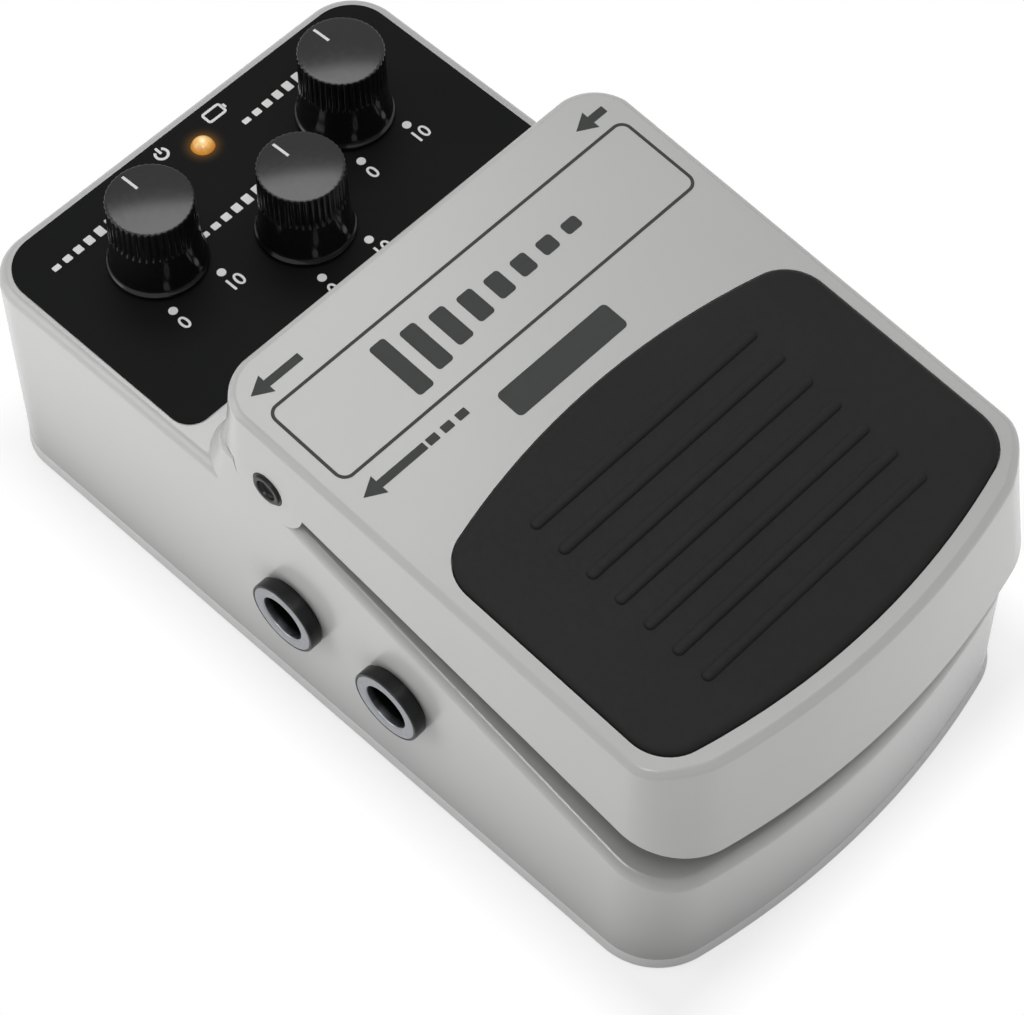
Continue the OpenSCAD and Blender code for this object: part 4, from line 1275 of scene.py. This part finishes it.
# Stage lights: name, place, target, size and power
SOFTBOXES = (
    ("overhead", (0.04, -0.08, 0.64), (0.04, -0.08, 0.0), (0.6, 0.5), 1.47),
    ("rear_right", (0.177, 0.278, 0.641), (0.0, 0.043, 0.05), (0.3, 0.215), 0.96),
    ("rear_left", (-0.42, 0.42, 0.36), (0, 0.02, 0.02), (0.4, 0.4), 1.14),
    ("front", (0.0, -0.62, 0.25), (0, 0, 0.02), (0.4, 0.4), 0.1),
    ("front_left", (-0.2, -0.2, 0.62), (0, 0, 0.03), (0.15, 0.15), 0.72),
)
FLOOR_GLOW = (1.31, 3.34)
FLOOR_FADE = 0.35
FLOOR_FOOT = 0.05
FLOOR_REACH = 2.0
SKY_GLOW = 0.0

# The photograph's viewpoint: azimuth, elevation and roll in degrees, place, and lens
VIEW_ANGLES = (-45.74, 57.35, -0.31)
VIEW_PLACE = (-0.16605, -0.16185, 0.37148)
VIEW_LENS = 117.96


class PEDAL_OT_stage(bpy.types.Operator):
    """Adds the floor, the white surround, the soft lights and the camera"""

    bl_idname = "pedal.stage"
    bl_label = "Floor, light and camera"

    def execute(self, context):
        scene = context.scene
        scene.view_settings.view_transform = "Standard"
        self.floor()
        self.surround(scene)
        for name, place, target, size, power in SOFTBOXES:
            self.softbox(name, place, target, size, power)
        self.camera(scene)
        return {"FINISHED"}

    def floor(self):
        """A pale plane that shows the object's shadow near it and is plain white further off."""
        ends = (-FLOOR_REACH, FLOOR_REACH)
        corners = [(x, y, 0) for y in ends for x in ends]
        mesh = bpy.data.meshes.new("floor")
        mesh.from_pydata(corners, [], [(0, 1, 3, 2)])
        material, tree, shader = blank_finish("floor")
        tree.nodes.remove(shader)
        near = distance_outside(tree, (33.6 * MM, 58.9 * MM, 1.0))
        away = spread(tree, near, 0.0, 1.0, 0.5 * MM, 7.0 * MM)
        pale = tree.nodes.new("ShaderNodeBsdfDiffuse")
        pale.inputs["Color"].default_value = (0.4, 0.4, 0.4, 1)
        lit = tree.nodes.new("ShaderNodeEmission")
        lit.inputs["Strength"].default_value = 0.64
        both = tree.nodes.new("ShaderNodeAddShader")
        tree.links.new(pale.outputs[0], both.inputs[0])
        tree.links.new(lit.outputs[0], both.inputs[1])
        white = tree.nodes.new("ShaderNodeEmission")
        seen = blend(tree, away, both.outputs[0], white.outputs[0])
        bounce = tree.nodes.new("ShaderNodeEmission")
        bounce.label = "Light thrown up by the floor"
        tree.links.new(self.floor_glow(tree), bounce.inputs["Strength"])
        shown = any_ray(tree, "Is Camera Ray", "Is Glossy Ray")
        surface = blend(tree, shown, bounce.outputs[0], seen)
        tree.links.new(surface, tree.nodes["Material Output"].inputs["Surface"])
        mesh.materials.append(material)
        plane = bpy.data.objects.new("floor", mesh)
        bpy.context.scene.collection.objects.link(plane)

    def floor_glow(self, tree):
        """Light thrown up by the floor: it grows across the floor, fades beyond and is weak by the object."""
        across = combine_places(tree, "DOT_PRODUCT", object_place(tree), (1.0, 1.0, 0.0), output="Value")
        grow = spread(tree, across, *FLOOR_GLOW, -160 * MM, 0.0)
        fade = spread(tree, across, 1.0, FLOOR_FADE, 20 * MM, 140 * MM)
        gap = distance_outside(tree, (33.6 * MM, 61.4 * MM, 1.0))
        foot = spread(tree, gap, FLOOR_FOOT, 1.0, 0.0, 70 * MM)
        return combine(tree, "MULTIPLY", combine(tree, "MULTIPLY", grow, fade), foot)

    def surround(self, scene):
        """White where it is seen, mirrored or looked through, and of SKY_GLOW strength to other rays."""
        world = bpy.data.worlds.new("surround")
        world.use_nodes = True
        tree = world.node_tree
        sky = tree.nodes["Background"]
        sky.inputs["Color"].default_value = (1, 1, 1, 1)
        shown = any_ray(tree, "Is Camera Ray", "Is Glossy Ray", "Is Transmission Ray")
        tree.links.new(spread(tree, shown, SKY_GLOW, 1.0, 0.0, 1.0), sky.inputs["Strength"])
        scene.world = world

    def softbox(self, name, place, target, size, power):
        """A rectangular light at a place, turned to a target."""
        light = bpy.data.lights.new(name, "AREA")
        light.shape = "RECTANGLE"
        light.size, light.size_y = size
        light.energy = power
        holder = bpy.data.objects.new(name, light)
        holder.location = place
        holder.rotation_euler = (Vector(target) - Vector(place)).to_track_quat("-Z", "Y").to_euler()
        holder.visible_camera = False
        bpy.context.scene.collection.objects.link(holder)

    def camera(self, scene):
        """The photograph's viewpoint: azimuth, elevation and roll fitted to the object's straight edges."""
        azimuth, elevation, roll = (math.radians(angle) for angle in VIEW_ANGLES)
        flat = math.cos(elevation)
        back = Vector((math.sin(azimuth) * flat, -math.cos(azimuth) * flat, math.sin(elevation)))
        level = Vector((math.cos(azimuth), math.sin(azimuth), 0))
        upward = back.cross(level)
        right = math.cos(roll) * level + math.sin(roll) * upward
        up = math.cos(roll) * upward - math.sin(roll) * level
        lens = bpy.data.cameras.new("camera")
        lens.sensor_fit = "HORIZONTAL"
        lens.sensor_width = 36.0
        lens.lens = VIEW_LENS
        lens.clip_start = 0.01
        holder = bpy.data.objects.new("camera", lens)
        turn = Matrix((right, up, back)).transposed().to_4x4()
        holder.matrix_world = Matrix.Translation(VIEW_PLACE) @ turn
        scene.collection.objects.link(holder)
        scene.camera = holder


OPERATORS = (
    PEDAL_OT_stage,
    PEDAL_OT_case,
    PEDAL_OT_label,
    PEDAL_OT_knobs,
    PEDAL_OT_lamp,
    PEDAL_OT_treadle,
    PEDAL_OT_mat,
    PEDAL_OT_print,
    PEDAL_OT_pins,
    PEDAL_OT_sockets,
    PEDAL_OT_springs,
    PEDAL_OT_inside,
)


class PEDAL_PT_pieces(bpy.types.Panel):
    """Lists the pedal's pieces, sizes and colours"""

    bl_idname = "PEDAL_PT_pieces"
    bl_label = "Delay Pedal"
    bl_space_type = "VIEW_3D"
    bl_region_type = "UI"
    bl_category = "Pedal"

    def draw(self, context):
        column = self.layout.column()
        for operator in OPERATORS:
            column.operator(operator.bl_idname)
        for group in (context.scene.pedal_sizes, context.scene.pedal_colours):
            box = self.layout.box()
            for name in group.__annotations__:
                box.prop(group, name)


CLASSES = (PedalSizes, PedalColours, *OPERATORS, PEDAL_PT_pieces)


def register():
    """Registers the classes and hangs the settings on the scene."""
    for part in CLASSES:
        bpy.utils.register_class(part)
    bpy.types.Scene.pedal_sizes = bpy.props.PointerProperty(type=PedalSizes)
    bpy.types.Scene.pedal_colours = bpy.props.PointerProperty(type=PedalColours)


def unregister():
    """Takes the settings and the classes away again."""
    del bpy.types.Scene.pedal_colours
    del bpy.types.Scene.pedal_sizes
    for part in reversed(CLASSES):
        bpy.utils.unregister_class(part)


def main():
    """Builds every piece in order."""
    register()
    bpy.ops.pedal.stage()
    bpy.ops.pedal.case()
    bpy.ops.pedal.label()
    bpy.ops.pedal.knobs()
    bpy.ops.pedal.lamp()
    bpy.ops.pedal.treadle()
    bpy.ops.pedal.mat()
    bpy.ops.pedal.print()
    bpy.ops.pedal.pins()
    bpy.ops.pedal.sockets()
    bpy.ops.pedal.springs()
    bpy.ops.pedal.inside()


if __name__ == "__main__":
    main()
